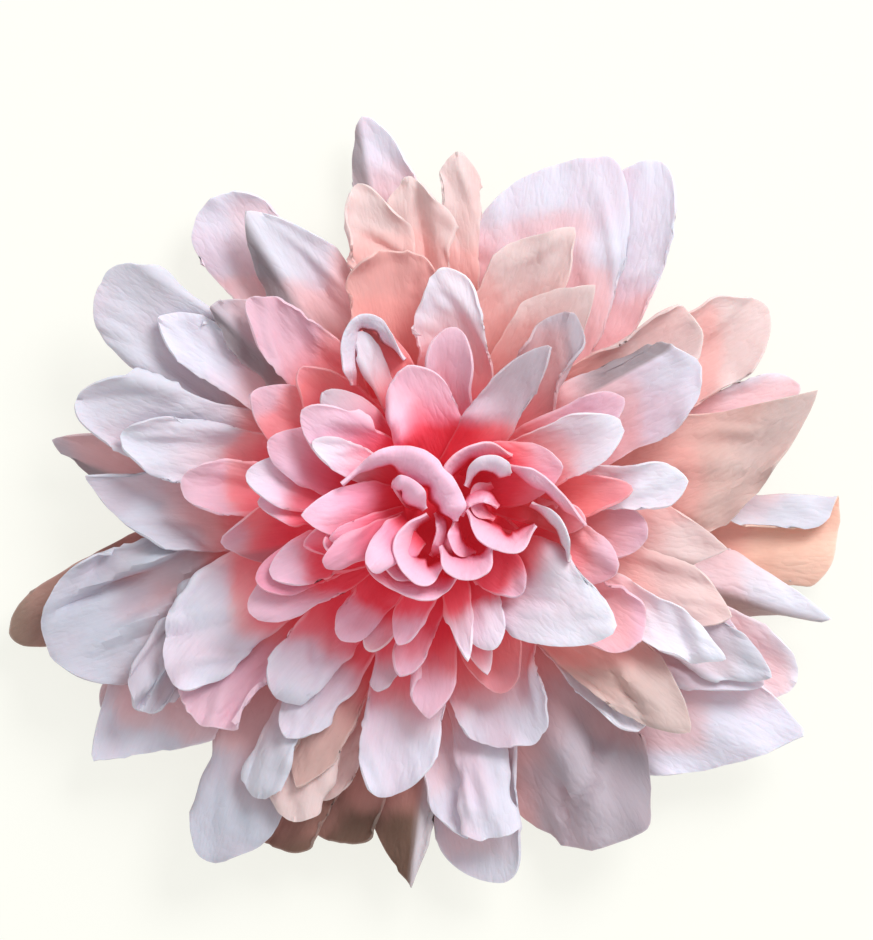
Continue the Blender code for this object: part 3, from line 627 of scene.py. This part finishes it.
def curlSheet(shape):
    # a band of paper along a curved crest, whose inner side goes down between the others
    rows, columns = curlPaper["grid"]
    path = resample(np.array(shape["path"]), rows + 1, 2)
    step = np.gradient(path, axis=0)
    step /= np.linalg.norm(step, axis=1, keepdims=True)
    inward = np.stack([-step[:, 1], step[:, 0]], axis=1) * (1.0 if shape["side"] == "left" else -1.0)
    run, across = np.meshgrid(np.linspace(0.0, 1.0, rows + 1), np.linspace(0.0, 1.0, columns + 1),
                              indexing="ij")
    taper = easeStep(run / shape["ends"][0]) * easeStep((1.0 - run) / shape["ends"][1])
    length = float(np.linalg.norm(np.diff(path, axis=0), axis=1).sum())
    seed = int(length * 10)
    wander = softNoise(run * length / curlPaper["swellLength"], across * 1.2, seed)
    uneven = softNoise(run * length / curlPaper["unevenLength"], across * 0, curlPaper["unevenSeed"])
    width = shape["width"] * (curlPaper["endWidth"] + (1.0 - curlPaper["endWidth"]) * taper)
    width = width * (1.0 + curlPaper["uneven"] * uneven)
    fall = (1.0 - across) ** shape["steep"]
    beyond = easeStep((across - shape["crest"]) / (1.0 - shape["crest"]))
    height = shape["top"] + shape["rise"] * run - curlPaper["endDip"] * (1.0 - taper)
    height += curlPaper["swell"] * wander * across - shape["drop"] * fall - shape["over"] * beyond
    height -= shape["root"] * easeStep(1.0 - across / curlPaper["rootShare"])
    flute = shape["flute"] * softNoise(run * length / curlPaper["fluteLength"], across * 0, seed + 3)
    aside = width * (0.5 - across) + flute * easeStep(1.0 - across / 0.5)
    plan = path[:, None, :] + aside[..., None] * inward[:, None, :]
    along = curlPaper["palest"] - curlPaper["redder"] * fall
    rim = np.minimum(width * (1.0 - across), curlPaper["edgeless"])
    return np.dstack([plan, height]), along, run * length, rim, length


def srgb(red, green, blue):
    values = [channel / 255.0 for channel in (red, green, blue)]
    return [((c + 0.055) / 1.055) ** 2.4 if c > 0.04045 else c / 12.92 for c in values] + [1.0]


def paperLook(root, middle, tip, stain, edge, shade, pales=(0.25, 0.6), warmth=0.9):
    return {"root": root, "middle": middle, "tip": tip, "stain": stain, "edge": edge,
            "shade": shade, "palesFrom": pales[0], "palesBy": pales[1], "warmth": warmth}


# What each paper looks like away from the flower's heart: its colours at the root, the middle
# and the tip, of its stains, of its cut edge, which is partly a painted highlight, and of the painted
# shade on its folded-down sides, the shares of its length between which it turns pale, and how much of the
# heart's warmth it takes.
# Some papers are darker copies of others with painted shade, for petals that lie in shadow.
papers = {
    "lilac": paperLook((236, 150, 162), (232, 199, 211), (223, 221, 235), (232, 192, 208),
                       (238, 234, 243), (166, 156, 162)),
    "white": paperLook((234, 160, 166), (236, 214, 222), (231, 231, 243), (234, 208, 216),
                       (244, 242, 248), (176, 162, 158), pales=(0.2, 0.5), warmth=0.45),
    # lilac with painted half shade, for petals that the light reaches less
    "halfShadeLilac": paperLook((230, 156, 166), (222, 202, 211), (214, 214, 226), (216, 194, 208),
                      (230, 230, 240), (148, 140, 146)),
    # lilac with painted shade, for the petals low on the left that lie away from the light
    "shadeLilac": paperLook((222, 150, 156), (206, 188, 196), (198, 200, 213), (200, 178, 190),
                      (222, 222, 232), (150, 142, 150)),
    "blush": paperLook((232, 108, 122), (234, 160, 177), (226, 188, 204), (240, 176, 198),
                       (243, 222, 232), (176, 120, 132), pales=(0.25, 0.8)),
    "peach": paperLook((238, 132, 128), (237, 189, 184), (229, 207, 206), (242, 190, 186),
                       (242, 228, 225), (176, 150, 148), pales=(0.25, 0.75)),
    "apricot": paperLook((236, 150, 134), (224, 184, 174), (208, 187, 183), (228, 180, 168),
                         (238, 222, 216), (166, 140, 132), pales=(0.3, 0.8), warmth=0.8),
    "tan": paperLook((238, 156, 138), (242, 196, 176), (242, 200, 182), (240, 186, 166),
                     (246, 228, 220), (176, 144, 128), pales=(0.3, 0.8), warmth=0.8),
    "salmon": paperLook((232, 104, 104), (230, 150, 146), (223, 170, 166), (240, 166, 162),
                        (244, 218, 216), (170, 130, 128), pales=(0.3, 0.85), warmth=1.0),
    "rose": paperLook((206, 58, 76), (224, 104, 128), (230, 150, 174), (216, 112, 138),
                      (242, 204, 218), (150, 60, 80), pales=(0.3, 0.9), warmth=0.35),
    "coral": paperLook((220, 52, 64), (238, 118, 124), (240, 160, 168), (240, 132, 142),
                       (244, 200, 206), (160, 80, 86), pales=(0.3, 0.9), warmth=1.0),
    # a greyed paper with painted shade, for petals that lie in the shadow of others
    "shadeGrey": paperLook((222, 140, 148), (202, 178, 186), (188, 178, 188), (198, 174, 184),
                      (220, 214, 221), (146, 136, 142), pales=(0.2, 0.55), warmth=0.8),
    # a dark brown paper of painted deep shade, for petals low at the back under the others
    "deepShadeBrown": paperLook((72, 44, 34), (86, 60, 48), (116, 90, 78), (112, 84, 70),
                       (196, 186, 180), (104, 80, 70), pales=(0.3, 0.95), warmth=0.5),
}
# the dark paper of painted deep shade with a pale folded flange, a painted highlight where the flange
# catches the light
papers["deepShadeLitFlange"] = {**papers["deepShadeBrown"], "shade": (206, 199, 205)}
# the dark paper of painted deep shade with a paler tip
papers["deepShadeDrab"] = {**papers["deepShadeBrown"], "tip": (150, 126, 114)}
# the greyed paper whose folded side takes a near-black painted shade
papers["shaded"] = {**papers["shadeGrey"], "shade": (64, 46, 52)}
# the shaded lilac with its root darkened further by painted shade, for a petal deep in the shadow of its
# neighbours
papers["shadeLilacDarkRoot"] = {**papers["shadeLilac"], "root": (172, 132, 140), "middle": (184, 166, 176)}
# peach darkened by painted shade, for a petal in the shadow of its neighbours
papers["shadePeach"] = {**papers["peach"], "middle": (224, 148, 142), "tip": (206, 172, 166)}

# Painted glow: the places deep between petals are painted coral and let a little of that colour out as
# light, though they are no lamp.
# It stands in for light that the paper lets through and passes on between petals. depth is in millimetres,
# and reach, how far the neighbours count, in cells of the height map. From nearFrom to nearBy the colour
# and strength go over from the inner ones to the outer ones.
paintedCreviceGlow = {
    "depth": 13.0, "reach": 5, "inner": (228, 66, 84), "outer": (236, 164, 158),
    "innerShare": 0.9, "outerShare": 0.5, "nearFrom": 17.0, "nearBy": 40.0, "paintedGlowEmission": 0.13,
}

# Colours that every paper takes in the warm patch round the flower's heart, from root to tip,
# and the middle of the patch, which lies to the left of the axis and below it. share is how much
# of them shows there. In millimetres from it, they start to fade at fadeFrom and end at fadeBy.
heartTint = {
    "deep": (218, 52, 72), "rose": (248, 164, 194), "pale": (248, 198, 222),
    "centre": (-7.0, -5.0), "fadeFrom": 12.0, "fadeBy": 33.5, "share": 0.95,
}

# How strongly the rest of the finish shows: uneven colour along a petal, round the heart in
# millimetres and in the depth of the painted glow, stains, painted shade on folded sides, the pale cut
# edge, partly a painted highlight, fibres, tone and specks, creases and relief, how smooth and shiny the
# paper is, and the light that goes through it.
finish = {
    "unevenAlong": 0.4, "unevenRound": 14.0, "unevenDepth": 0.3, "stains": 0.45, "folded": 0.95,
    "edge": 0.25, "edgeWidth": 0.4, "fibres": 0.015, "tone": 0.045, "specks": 0.5,
    "speckColour": (120, 70, 60), "creases": 2.4, "bump": 0.55, "bumpHeight": 0.35,
    "smoothest": 0.72, "roughest": 0.92, "sheen": 0.25, "throughLight": 0.2,
    "throughColour": (1.0, 0.45, 0.35), "throughDepth": 1.2,
}

# sockets of the tint group that take the colours and values above, and the mesh's attributes
tintColours = ("root", "middle", "tip", "stain", "edge", "shade", "deep", "rose", "pale", "inner", "outer")
tintValues = ("palesFrom", "palesBy", "warmth", "fadeFrom", "fadeBy", "innerShare", "outerShare",
              "nearFrom", "nearBy")
sheetValues = ("along", "rim", "tone", "depth", "turned")


def newGroup(name, inputs, outputs):
    tree = bpy.data.node_groups.new(name, "ShaderNodeTree")
    for inOut, sockets in (("INPUT", inputs), ("OUTPUT", outputs)):
        for label, kind in sockets:
            tree.interface.new_socket(label, in_out=inOut, socket_type="NodeSocket" + kind)
    return tree, tree.nodes.new("NodeGroupInput"), tree.nodes.new("NodeGroupOutput")


def newMaterial(name):
    material = bpy.data.materials.new(name)
    material.use_nodes = True
    return material, material.node_tree, material.node_tree.nodes["Principled BSDF"]


def fillSocket(tree, socket, value):
    if isinstance(value, (int, float, list, tuple)):
        socket.default_value = value
    else:
        tree.links.new(value, socket)


def mathNode(tree, operation, first, second=0.0):
    node = tree.nodes.new("ShaderNodeMath")
    node.operation = operation
    fillSocket(tree, node.inputs[0], first)
    fillSocket(tree, node.inputs[1], second)
    return node.outputs[0]


def times(tree, first, second):
    return mathNode(tree, "MULTIPLY", first, second)


def plus(tree, first, second):
    return mathNode(tree, "ADD", first, second)


def mixColour(tree, factor, first, second):
    node = tree.nodes.new("ShaderNodeMix")
    node.data_type = "RGBA"
    for number, value in ((0, factor), (6, first), (7, second)):
        fillSocket(tree, node.inputs[number], value)
    return node.outputs[2]


def mapRange(tree, value, low, high, newLow=0.0, newHigh=1.0):
    node = tree.nodes.new("ShaderNodeMapRange")
    node.interpolation_type = "SMOOTHSTEP"
    for name, given in (("Value", value), ("From Min", low), ("From Max", high),
                        ("To Min", newLow), ("To Max", newHigh)):
        fillSocket(tree, node.inputs[name], given)
    return node.outputs[0]


def noiseOn(tree, coordinates, scale, detail, roughness, stretch=(1.0, 1.0, 1.0)):
    mapping = tree.nodes.new("ShaderNodeMapping")
    mapping.inputs["Scale"].default_value = stretch
    tree.links.new(coordinates, mapping.inputs["Vector"])
    node = tree.nodes.new("ShaderNodeTexNoise")
    for name, value in (("Scale", scale), ("Detail", detail), ("Roughness", roughness)):
        node.inputs[name].default_value = value
    tree.links.new(mapping.outputs[0], node.inputs["Vector"])
    return node.outputs["Fac"]


def addBump(tree, height, shader, distance, strength=1.0):
    bump = tree.nodes.new("ShaderNodeBump")
    bump.inputs["Strength"].default_value = strength
    bump.inputs["Distance"].default_value = distance * mm
    tree.links.new(height, bump.inputs["Height"])
    tree.links.new(bump.outputs[0], shader.inputs["Normal"])


def buildFibreGroup():
    # long fibres along the sheet, its fine grain, and the creases of soft paper
    tree, given, out = newGroup("paperFibres", [("sheet", "Vector"), ("creases", "Float")],
                                [("fibres", "Float"), ("height", "Float")])
    at = given.outputs["sheet"]
    strands = noiseOn(tree, at, 4.0, 2.0, 0.5, (8.0, 0.4, 1.0))
    grain = noiseOn(tree, at, 55.0, 2.0, 0.6)
    creased = noiseOn(tree, at, 3.2, 2.0, 0.45, (1.7, 0.7, 1.0))
    ridge = mathNode(tree, "ABSOLUTE", mathNode(tree, "SUBTRACT", creased, 0.5))
    height = plus(tree, times(tree, strands, 0.1), times(tree, grain, 0.12))
    height = plus(tree, height, times(tree, ridge, given.outputs["creases"]))
    tree.links.new(strands, out.inputs["fibres"])
    tree.links.new(height, out.inputs["height"])
    return tree


def heartDistance(tree, place, uneven):
    # how far a place lies from the middle of the warm patch, in millimetres in plan
    flat = tree.nodes.new("ShaderNodeVectorMath")
    flat.operation = "MULTIPLY_ADD"
    flat.inputs[1].default_value = (1.0 / mm, 1.0 / mm, 0.0)
    flat.inputs[2].default_value = (-heartTint["centre"][0], -heartTint["centre"][1], 0.0)
    tree.links.new(place, flat.inputs[0])
    radius = tree.nodes.new("ShaderNodeVectorMath")
    radius.operation = "LENGTH"
    tree.links.new(flat.outputs[0], radius.inputs[0])
    return plus(tree, radius.outputs["Value"], times(tree, uneven, finish["unevenRound"]))


def buildTintGroup():
    # the paper's colour from root to tip, warmer near the flower's heart, with pink stains,
    # painted shade on folded-down edges, a painted coral glow deep between petals, a pale cut edge that is
    # partly a painted highlight, and tiny specks
    inputs = [("sheet", "Vector"), ("place", "Vector"), ("fibres", "Float")]
    inputs += [(name, "Color") for name in tintColours]
    inputs += [(name, "Float") for name in tintValues + sheetValues]
    # its second output, light, is the painted glow that the paper sends out as emission
    tree, given, out = newGroup("petalTint", inputs, [("colour", "Color"), ("light", "Color")])
    of = given.outputs
    at = of["sheet"]
    uneven = mathNode(tree, "SUBTRACT", noiseOn(tree, at, 1.3, 1.5, 0.5, (1.0, 0.8, 1.0)), 0.5)
    along = plus(tree, of["along"], times(tree, uneven, finish["unevenAlong"]))

    outer = mixColour(tree, mapRange(tree, along, 0.04, of["palesFrom"]), of["root"], of["middle"])
    outer = mixColour(tree, mapRange(tree, along, of["palesFrom"], of["palesBy"]), outer, of["tip"])
    inner = mixColour(tree, mapRange(tree, along, 0.0, 0.34), of["deep"], of["rose"])
    inner = mixColour(tree, mapRange(tree, along, 0.35, 0.8), inner, of["pale"])
    distance = heartDistance(tree, of["place"], uneven)
    heat = mapRange(tree, distance, of["fadeFrom"], of["fadeBy"], heartTint["share"], 0.0)
    colour = mixColour(tree, times(tree, heat, of["warmth"]), outer, inner)

    stains = mapRange(tree, noiseOn(tree, at, 0.8, 1.5, 0.5, (1.1, 0.8, 1.0)), 0.44, 0.72)
    colour = mixColour(tree, times(tree, stains, finish["stains"]), colour, of["stain"])
    # painted glow deep between petals: a coral colour, redder nearer the heart, mixed in by how deep a
    # place lies
    near = mapRange(tree, distance, of["nearFrom"], of["nearBy"], 1.0, 0.0)
    glow = mixColour(tree, near, of["outer"], of["inner"])
    strength = mapRange(tree, distance, of["nearFrom"], of["nearBy"], of["innerShare"], of["outerShare"])
    deep = plus(tree, of["depth"], times(tree, uneven, finish["unevenDepth"]))
    deep = times(tree, mapRange(tree, deep, 0.12, 1.1), strength)
    colour = mixColour(tree, deep, colour, glow)
    # the same painted glow, let out as emission though the paper is no lamp
    paintedGlowEmission = mixColour(tree, deep, (0.0, 0.0, 0.0, 1.0), glow)
    tree.links.new(paintedGlowEmission, out.inputs["light"])

    # painted shade on edges that are folded down, in the paper's shade colour
    colour = mixColour(tree, times(tree, of["turned"], finish["folded"]), colour, of["shade"])
    # a pale cut edge: partly the paper's own paler edge, partly a painted highlight where the edge catches
    # the light
    pale = mapRange(tree, of["rim"], 0.0, finish["edgeWidth"], finish["edge"], 0.0)
    colour = mixColour(tree, pale, colour, of["edge"])
    shade = mapRange(tree, of["fibres"], 0.3, 0.7, 1.0 - finish["fibres"], 1.0 + finish["fibres"])
    shade = times(tree, shade, plus(tree, 1.0, times(tree, of["tone"], finish["tone"])))
    scaled = tree.nodes.new("ShaderNodeVectorMath")
    scaled.operation = "SCALE"
    tree.links.new(colour, scaled.inputs[0])
    tree.links.new(shade, scaled.inputs["Scale"])
    speck = mapRange(tree, noiseOn(tree, at, 26.0, 1.0, 0.5), 0.80, 0.84, 0.0, finish["specks"])
    colour = mixColour(tree, speck, scaled.outputs[0], srgb(*finish["speckColour"]))
    tree.links.new(colour, out.inputs["colour"])
    return tree


def paperMaterial(name, look, fibres, tint):
    material, tree, shader = newMaterial(name)
    coordinates = tree.nodes.new("ShaderNodeUVMap")
    coordinates.uv_map = "sheet"
    place = tree.nodes.new("ShaderNodeTexCoord")
    fibre, colour = [tree.nodes.new("ShaderNodeGroup") for _ in range(2)]
    fibre.node_tree, colour.node_tree = fibres, tint
    fibre.inputs["creases"].default_value = finish["creases"]
    tree.links.new(coordinates.outputs[0], fibre.inputs["sheet"])
    tree.links.new(coordinates.outputs[0], colour.inputs["sheet"])
    tree.links.new(place.outputs["Object"], colour.inputs["place"])
    tree.links.new(fibre.outputs["fibres"], colour.inputs["fibres"])
    for name in sheetValues:
        reader = tree.nodes.new("ShaderNodeAttribute")
        reader.attribute_name = name
        tree.links.new(reader.outputs["Fac"], colour.inputs[name])
    given = {**look, **heartTint, **paintedCreviceGlow}
    for name in tintColours:
        colour.inputs[name].default_value = srgb(*given[name])
    for name in tintValues:
        colour.inputs[name].default_value = given[name]

    tree.links.new(colour.outputs["colour"], shader.inputs["Base Color"])
    # the painted glow deep between petals shines as emission
    tree.links.new(colour.outputs["light"], shader.inputs["Emission Color"])
    addBump(tree, fibre.outputs["height"], shader, finish["bumpHeight"], finish["bump"])
    rough = mapRange(tree, fibre.outputs["fibres"], 0.2, 0.8, finish["roughest"], finish["smoothest"])
    tree.links.new(rough, shader.inputs["Roughness"])
    for label, value in (("Emission Strength", paintedCreviceGlow["paintedGlowEmission"]),
                         ("Specular IOR Level", finish["sheen"]),
                         ("Subsurface Weight", finish["throughLight"]),
                         ("Subsurface Radius", finish["throughColour"]),
                         ("Subsurface Scale", finish["throughDepth"] * mm)):
        shader.inputs[label].default_value = value
    return material


def addObject(name, data):
    thing = bpy.data.objects.new(name, data)
    bpy.context.scene.collection.objects.link(thing)
    return thing


def addMesh(name, builder, materials):
    mesh = bpy.data.meshes.new(name)
    builder.to_mesh(mesh)
    builder.free()
    for material in materials:
        mesh.materials.append(material)
    return addObject(name, mesh)


def pieceFrom(name, builder, materials, node):
    piece = addMesh(name, builder, materials)
    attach(piece, "root")
    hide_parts(node)
    return piece


# how the paper's pattern lies on a sheet: millimetres to one unit of it, and how many different
# parts of it the petals take, that far apart
pattern = {"unit": 10.0, "parts": 17, "apart": 3.7}


def turnedDown(shape, along, t):
    # how far each place lies on an edge that is folded down, away from the light, and so how much painted
    # shade it takes
    across = np.clip(2.0 * t / shape["width"], -1.0, 1.0)
    fold = easeStep((np.abs(across) - shape["foldFrom"]) / (shape["foldBy"] - shape["foldFrom"]))
    angle = np.where(across > 0.0, shape["left"], shape["right"])
    return np.clip(-angle / 50.0, 0.0, 1.0) * fold * easeStep((along - 0.35) / 0.2)


def petalPiece(name, shape, settled, depth, node, seed):
    sheet, along, t, rim, length = settled
    rows, columns = along.shape[0] - 1, along.shape[1] - 1
    tone = np.full_like(along, np.random.default_rng(seed).uniform(-1.0, 1.0))
    values = {"along": along, "rim": rim, "tone": tone, "depth": depth,
              "turned": turnedDown(shape, along, t)}
    builder = bmesh.new()
    bmesh.ops.create_grid(builder, x_segments=rows, y_segments=columns, size=0.5)
    layers = {key: builder.verts.layers.float.new(key) for key in values}
    uvs = builder.loops.layers.uv.new("sheet")
    shift = (seed % pattern["parts"]) * pattern["apart"]
    spot = {}
    for corner in builder.verts:
        row = round((corner.co.x + 0.5) * rows)
        column = round((corner.co.y + 0.5) * columns)
        spot[corner.index] = (row, column)
        corner.co = Vector(sheet[row, column]) * mm
        for key, layer in layers.items():
            corner[layer] = values[key][row, column]
    for face in builder.faces:
        face.smooth = True
        for loop in face.loops:
            row, column = spot[loop.vert.index]
            loop[uvs].uv = (t[row, column] / pattern["unit"] + shift,
                            along[row, column] * length / pattern["unit"])
    face = paperMaterials[shape["paper"]]
    under = paperMaterials[shape["under"] or shape["paper"]]
    piece = pieceFrom(name, builder, [face, under], node)
    solid = piece.modifiers.new("paper", "SOLIDIFY")
    solid.thickness = paper["thickness"] * mm * paper["pressed"]
    solid.offset = 0.0
    solid.material_offset = 1
    solid.material_offset_rim = 0
    cut = piece.modifiers.new("cut edge", "BEVEL")
    cut.width = paper["cutEdge"] * mm
    cut.segments = 2
    cut.limit_method = "ANGLE"
    cut.angle_limit = math.radians(60)
    return piece


fibreGroup = buildFibreGroup()
tintGroup = buildTintGroup()
paperMaterials = {name: paperMaterial(name + "Paper", look, fibreGroup, tintGroup)
                  for name, look in papers.items()}
print(len(papers), "papers mixed")

# first every petal is laid over the ones under it, from the back of the flower to its front
slots = {"back": "outer_paper", "outer": "outer_paper", "second": "middle_paper", "third": "middle_paper"}
coarseGround, fineGround = discMap(), discMap()
laid = []


def lay(name, ring, shape, small, node):
    seed = 20 * (len(laid) + 1)
    settled = settlePetal(shape, ringHeights[ring], small, coarseGround, fineGround, seed)
    laid.append((name, shape, settled, slots.get(ring, "inner_paper"), node, seed))


for ring, large, small in rings:
    for number, (level, node, shape) in enumerate(sliverPetals, 1):
        if level == ring:
            lay(f"sliver{number:02d}", ring, shape, False, node)
    for number, shape in enumerate(large, 1):
        lay(f"{ring}Petal{number:02d}", ring, shape, False, f"{ring}_petal_{number:02d}")
    for number, shape in enumerate(small, 1):
        lay(f"{ring}SmallPetal{number:02d}", ring, shape, True, "flower_heart")
    print("ring", ring, "laid, top of the flower at", round(float(fineGround.max()), 1), "mm")

for number, shape in enumerate(heartCurls, 1):
    settled = curlSheet(shape)
    coverMap(settled[0], fineGround, fineMap["probes"])
    laid.append((f"heartCurl{number:02d}", {**plainPetal, **shape}, settled, "inner_paper",
                 "flower_heart", 7000 + 20 * number))
print(len(heartCurls), "curls laid in the heart, top at", round(float(fineGround.max()), 1), "mm")

# then each is made, with how deep each place lies between the tops of its neighbours, which sets how much
# painted glow it takes
tops = fineGround
for _ in range(paintedCreviceGlow["reach"]):
    tops = widened(tops)
for _ in range(2 * paintedCreviceGlow["reach"]):
    tops = blurred(tops)
for name, shape, settled, slot, node, seed in laid:
    sheet = settled[0]
    cells = mapCells(sheet)
    depth = np.clip((tops[cells[..., 0], cells[..., 1]] - sheet[..., 2]) / paintedCreviceGlow["depth"], 0.0, 1.0)
    petalPiece(name, shape, settled, depth, node, seed)
print(len(laid), "petals and curls made")

card = {"dark": (204, 196, 182), "light": (222, 214, 200), "flecks": (150, 134, 116),
        "fleckShare": 0.4, "bumpHeight": 0.05, "roughness": 0.9}


def cardMaterial():
    material, tree, shader = newMaterial("plainCard")
    place = tree.nodes.new("ShaderNodeTexCoord").outputs["Object"]
    mottle = noiseOn(tree, place, 260.0, 4.0, 0.6, (1.0, 2.2, 1.0))
    flecks = noiseOn(tree, place, 1500.0, 2.0, 0.6)
    colour = mixColour(tree, mapRange(tree, mottle, 0.35, 0.65), srgb(*card["dark"]), srgb(*card["light"]))
    colour = mixColour(tree, mapRange(tree, flecks, 0.62, 0.7, 0.0, card["fleckShare"]), colour,
                       srgb(*card["flecks"]))
    tree.links.new(colour, shader.inputs["Base Color"])
    addBump(tree, flecks, shader, card["bumpHeight"])
    shader.inputs["Roughness"].default_value = card["roughness"]
    return material


def buildDisc():
    builder = bmesh.new()
    bmesh.ops.create_cone(builder, cap_ends=True, segments=disc["sides"],
                          radius1=disc["radius"] * mm, radius2=disc["radius"] * mm,
                          depth=disc["thickness"] * mm)
    bmesh.ops.translate(builder, verts=builder.verts, vec=(0, 0, disc["thickness"] * mm / 2))
    rims = [edge for edge in builder.edges if len(edge.link_faces) == 2
            and edge.calc_face_angle() > math.radians(60)]
    bmesh.ops.bevel(builder, geom=rims, offset=disc["roundedEdge"] * mm, segments=disc["edgeSteps"],
                    profile=0.5, affect="EDGES", material=-1)
    return pieceFrom("cardDisc", builder, [cardMaterial()], "backing_disc")


# the cone's paper is all root: deep between the petals and far from any cut edge, so it takes the full
# painted glow
coneValues = {"along": 0.02, "rim": 5.0, "depth": 1.0}


def buildCone():
    foot = disc["thickness"] + cone["lift"]
    top = disc["thickness"] + cone["height"]
    heights = [foot + (top - foot) * (step / cone["steps"]) for step in range(cone["steps"])]
    builder = bmesh.new()
    profile = [builder.verts.new((float(coneRadius(h)) * mm, 0, h * mm)) for h in heights]
    profile.append(builder.verts.new((0, 0, top * mm)))
    profile.insert(0, builder.verts.new((0, 0, foot * mm)))
    edges = [builder.edges.new(pair) for pair in zip(profile, profile[1:])]
    bmesh.ops.spin(builder, geom=profile + edges, cent=(0, 0, 0), axis=(0, 0, 1),
                   angle=2 * math.pi, steps=cone["sides"], use_merge=True)
    bmesh.ops.remove_doubles(builder, verts=builder.verts, dist=0.01 * mm)
    bmesh.ops.recalc_face_normals(builder, faces=builder.faces)
    layers = {key: builder.verts.layers.float.new(key) for key in coneValues}
    for corner in builder.verts:
        for key, layer in layers.items():
            corner[layer] = coneValues[key]
    uvs = builder.loops.layers.uv.new("sheet")
    for face in builder.faces:
        face.smooth = True
        for loop in face.loops:
            loop[uvs].uv = (loop.vert.co.x / mm / pattern["unit"], loop.vert.co.y / mm / pattern["unit"])
    return pieceFrom("paperCone", builder, [paperMaterials["coral"]], "flower_heart")


buildDisc()
buildCone()
print("disc and cone made")

# the photo's frame: its size and the flower's middle in pixels, the size of one pixel in
# millimetres, and how far the camera stands from the floor and at what height the scale holds
photo = {"width": 873, "height": 940, "middle": (440, 505), "pixel": 0.168, "distance": 2000.0,
         "level": 15.0, "sensor": 36.0}

# the studio in metres, apart from the gap under the flower
studio = {
    "cream": srgb(254, 254, 246), "floorHalf": 3.0, "floorGap": 0.05, "floorGlow": 0.8,
    "roomLight": 0.62, "lampPlace": (0.6, 0.8, 1.0), "lampAim": (0, 0, 0.01), "lampSize": 0.7,
    "lampPower": 15.0,
}


def buildFloor():
    material, tree, shader = newMaterial("creamFloor")
    shader.inputs["Base Color"].default_value = studio["cream"]
    shader.inputs["Roughness"].default_value = 0.9
    glow = tree.nodes.new("ShaderNodeEmission")
    glow.inputs["Color"].default_value = studio["cream"]
    path = tree.nodes.new("ShaderNodeLightPath")
    seen = times(tree, path.outputs["Is Camera Ray"], studio["floorGlow"])
    mix = tree.nodes.new("ShaderNodeMixShader")
    for number, output in enumerate((seen, shader.outputs[0], glow.outputs[0])):
        tree.links.new(output, mix.inputs[number])
    tree.links.new(mix.outputs[0], tree.nodes["Material Output"].inputs["Surface"])
    builder = bmesh.new()
    bmesh.ops.create_grid(builder, x_segments=1, y_segments=1, size=studio["floorHalf"])
    bmesh.ops.translate(builder, verts=builder.verts, vec=(0, 0, -studio["floorGap"] * mm))
    addMesh("floor", builder, [material])


def buildLight():
    world = bpy.data.worlds.new("studio")
    world.use_nodes = True
    background = world.node_tree.nodes["Background"]
    background.inputs["Color"].default_value = (1.0, 1.0, 1.0, 1.0)
    background.inputs["Strength"].default_value = studio["roomLight"]
    bpy.context.scene.world = world
    light = bpy.data.lights.new("windowLight", "AREA")
    light.shape = "DISK"
    light.size = studio["lampSize"]
    light.energy = studio["lampPower"]
    lamp = addObject("windowLight", light)
    lamp.location = studio["lampPlace"]
    ray = Vector(studio["lampAim"]) - Vector(studio["lampPlace"])
    lamp.rotation_euler = ray.to_track_quat("-Z", "Y").to_euler()


def buildCamera():
    lens = bpy.data.cameras.new("camera")
    lens.sensor_width = photo["sensor"]
    lens.clip_start = 0.05
    seenHeight = photo["height"] * photo["pixel"]
    lens.lens = photo["sensor"] * (photo["distance"] - photo["level"]) / seenHeight
    camera = addObject("camera", lens)
    x = (photo["width"] / 2 - photo["middle"][0]) * photo["pixel"]
    y = (photo["middle"][1] - photo["height"] / 2) * photo["pixel"]
    camera.location = (x * mm, y * mm, photo["distance"] * mm)
    bpy.context.scene.camera = camera


buildFloor()
buildLight()
buildCamera()
bpy.context.scene.view_settings.view_transform = "Standard"
print("floor, light and camera placed")
